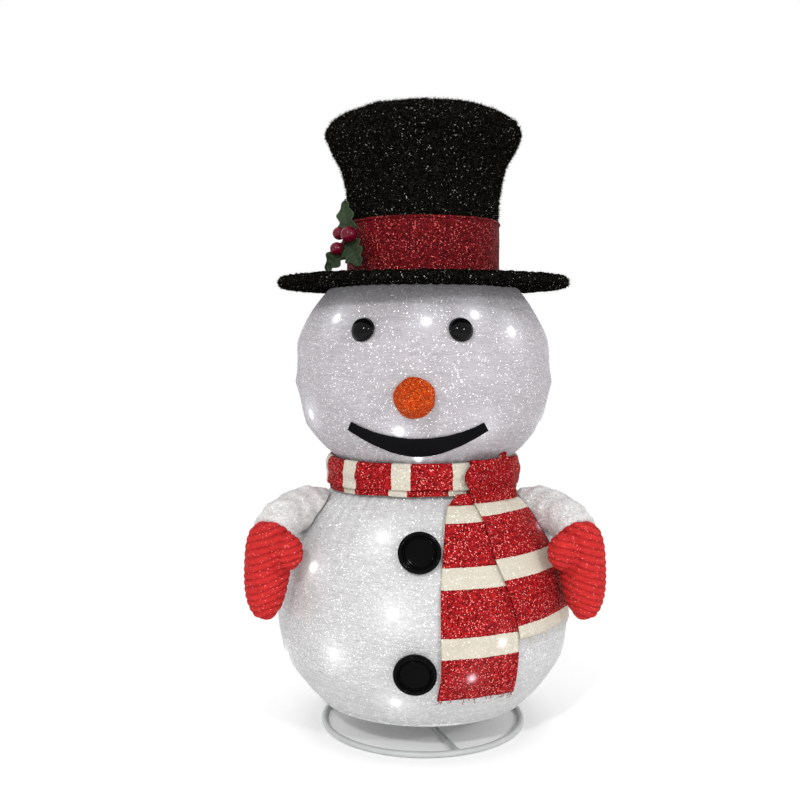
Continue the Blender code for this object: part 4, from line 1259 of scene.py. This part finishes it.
def hat():
    wall = revolved_cloth("crown_cloth", CROWN, hat_finish, lumps=0.0021, lumps_above=BAND_TOP)
    fuzz = hat_fuzz("crown_foil", wall, 15000, 0.0046, 81, lambda spot: spot[2] > BAND_TOP - 0.0004)
    mount_cloth(wall, HAT_CLOTH, on_crown, "hat_fabric", ["crown_wall"], [fuzz],
                flat=(math.tau * 0.082, 0.139), held="stretched", rests_on=["crown_frame"])

    lid = revolved_cloth("lid_cloth", CROWN_TOP, hat_finish, depth=0.0014, seed=6, lumps=0.0021)
    weld(lid, 1e-5)
    fuzz = hat_fuzz("lid_foil", lid, 10000, 0.0046, 82)
    mount_cloth(lid, HAT_CLOTH, on_lid, "hat_fabric", ["crown_lid"], [fuzz],
                flat=(0.210, 0.210), held="stretched", area=math.pi * 0.105 ** 2, rests_on=["crown_frame"])
    band()
    brim()


def band():
    """The ribbon round the crown, drawn tight, with a narrow turned hem at both edges."""
    ribbon = revolved_cloth("ribbon_band", BAND, band_finish, depth=0.0006, seed=2, steps=7)
    fuzz = tinsel("ribbon_foil", ribbon, 3200, 0.0018, 0.00028, 0.5, red_foil, 91)
    mount_cloth(ribbon, RIBBON, on_hat, "band_fabric", ["hat_band"], [fuzz],
                flat=(math.tau * 0.0755, 0.055), held="stretched", rests_on=["crown_cloth"])


def brim():
    """A hoop covered with tinsel cloth above and below, which meet in a rolled edge."""
    edge, middle = BRIM_RADIUS - BRIM_EDGE, (BRIM_LOW + BRIM_HIGH) / 2
    outline = [(BRIM_BORE, BRIM_LOW), (0.0900, BRIM_LOW), (0.1150, BRIM_LOW + 0.0002), (edge, BRIM_LOW)]
    outline += [(edge + BRIM_EDGE * math.cos(a), middle + BRIM_EDGE * math.sin(a))
                for a in (math.radians(d) for d in (-60, -30, 0, 30, 60))]
    outline += [(edge, BRIM_HIGH), (0.1150, BRIM_HIGH - 0.0002), (0.0900, BRIM_HIGH), (BRIM_BORE, BRIM_HIGH)]
    cover = revolved_cloth("brim_cloth", outline, hat_finish, columns=420, depth=0.0008, seed=4, steps=6,
                           lumps=0.0012)
    for vertex in cover.data.vertices:
        out = max(0.0, math.hypot(vertex.co.x, vertex.co.y) - BRIM_DROOP_FROM)
        out /= BRIM_RADIUS - BRIM_DROOP_FROM
        vertex.co.z -= BRIM_DROOP * (vertex.co.y / BRIM_RADIUS) ** 2 * out
    fuzz = hat_fuzz("brim_foil", cover, 19000, 0.0042, 101)
    mount_cloth(cover, BRIM_CLOTH, on_hat, "hat_fabric", ["brim_underside", "brim_top"], [fuzz],
                flat=(0.300, 0.600), area=2 * math.pi * (0.1475 ** 2 - BRIM_BORE ** 2), held="stretched",
                rests_on=["brim_hoop"])


# ---------------------------------------------------------------- holly

def holly():
    heart = around(*HOLLY_HEART)
    leaves = [holly_leaf(heart, around(*tip), width, facing) for tip, width, facing in HOLLY_LEAVES]
    sprig = leaves[0]
    sprig.name = "holly_sprig"
    join(sprig, leaves[1:])
    thicken(sprig, LEAF, offset=0)
    mount(sprig, "hat", "leaf_plastic", "holly_leaves")
    berries = []
    for azimuth, radius, z, size in BERRIES:
        centre = around(azimuth, radius, z)
        berry = ellipsoid("berry", centre, (size, size, size * 0.96), berry_finish, 36, 22)
        dimple(berry, centre, size)
        berries += [berry, tube("twig", [heart, (heart + centre) / 2 + Vector((0, 0, 0.002)), centre],
                                [0.0007] * 3, 8, berry_finish)]
    cluster = berries[0]
    cluster.name = "berry_cluster"
    join(cluster, berries[1:])
    mount(cluster, "hat", "berry_plastic", "holly_berries")


def dimple(berry, centre, size):
    """The small dark eye of a berry, on the side that faces out."""
    out = Vector((centre.x, centre.y - 0.04, 0)).normalized()
    for vertex in berry.data.vertices:
        away = (vertex.co - (centre + out * size)).length
        vertex.co -= out * 0.0010 * math.exp(-(away / 0.0014) ** 2)


def holly_leaf(root, tip, width, facing):
    """A waxy leaf with spines down both sides, a raised midrib and side veins, arched along its length."""
    along = tip - root
    away = around(facing, 1, 0)
    across = along.cross(away).normalized()
    out = across.cross(along).normalized()
    if out.dot(away) < 0:
        out, across = -out, -across

    def point(share, over):
        side = 2 * over - 1
        spread = math.sin(math.pi * min(1, share * 1.02 + 0.03)) ** 0.5 * (1 - 0.28 * share)
        spine = 0.62 + 0.38 * abs(math.cos(math.pi * share * 3.2)) ** 1.6
        reach = width * spread * (spine if abs(side) > 0.5 else 0.62 + (spine - 0.62) * abs(side) * 2)
        vein = 0.0004 * math.cos(share * 44 - abs(side) * 3)
        arch = 0.0035 * math.sin(math.pi * share)
        rise = arch + 0.0022 * abs(side) ** 1.5 + vein - 0.0006 * math.exp(-(side * 9) ** 2)
        rise += ripple((share, side, root.x), 0.4, 0.0008)
        return root + along * share + across * side * reach + out * (rise + 0.0008)

    return grid("leaf", sheet_rows(54, 17, point), leaf_finish)


# ---------------------------------------------------------------- base, frames and lights

def base():
    """The enamelled floor ring, and the bar welded across it."""
    turns = [math.tau * i / 20 for i in range(20)]
    outline = [(RING_RADIUS + RING_WIRE * math.cos(a), RING_WIRE + RING_WIRE * math.sin(a)) for a in turns]
    ring = turned("floor_ring", outline, enamel, 180, closed=True)
    uneven(ring, 0.03, 0.00015)
    mount(ring, "base", "white_enamel", "base_ring")
    ends = [around(BAR_AZIMUTH + turn, RING_RADIUS - RING_WIRE * 0.6, RING_WIRE) for turn in (0, 180)]
    path = [ends[0].lerp(ends[1], i / 40) for i in range(41)]
    bar = tube("floor_bar", path, [RING_WIRE] * 41, 20, enamel)
    join(bar, [ellipsoid("weld", end, WELD, enamel, 20, 12) for end in ends])
    mount(bar, "base", "white_enamel", "base_bar")


def paint(obj, finish):
    obj.data.materials.clear()
    obj.data.materials.append(finish)


def leads():
    """The string's leads, which fold up with the cloth that they run behind."""
    for name, put in (("torso_lead", on_torso), ("head_lead", on_head)):
        wire = new_object(f"{name}_wire", frame["nodes"][name].data.copy())
        paint(wire, lead_finish)
        mark_place(wire)
        put(wire, "clear_lead", name)


def finish_frame():
    """Finishes for the CAD nodes that stay."""
    finishes = {"white_enamel": enamel, "black_plastic": glossy_black, "steel_wire": drawn_wire,
                "clear_lead": lead_finish, "white_plastic": white_plastic,
                "cell_label": printed_sleeve("cell_sleeve")}
    slot_of = {part["node"]: part["material_slot"] for part in frame["record"]["subparts"]}
    for name, obj in frame["nodes"].items():
        if slot_of.get(name) in finishes:
            paint(obj, finishes[slot_of[name]])


camera()
studio_light()
pale_floor()
bodies_of_cloth()
face()
buttons()
arms()
scarf()
hat()
holly()
base()
leads()
finish_frame()
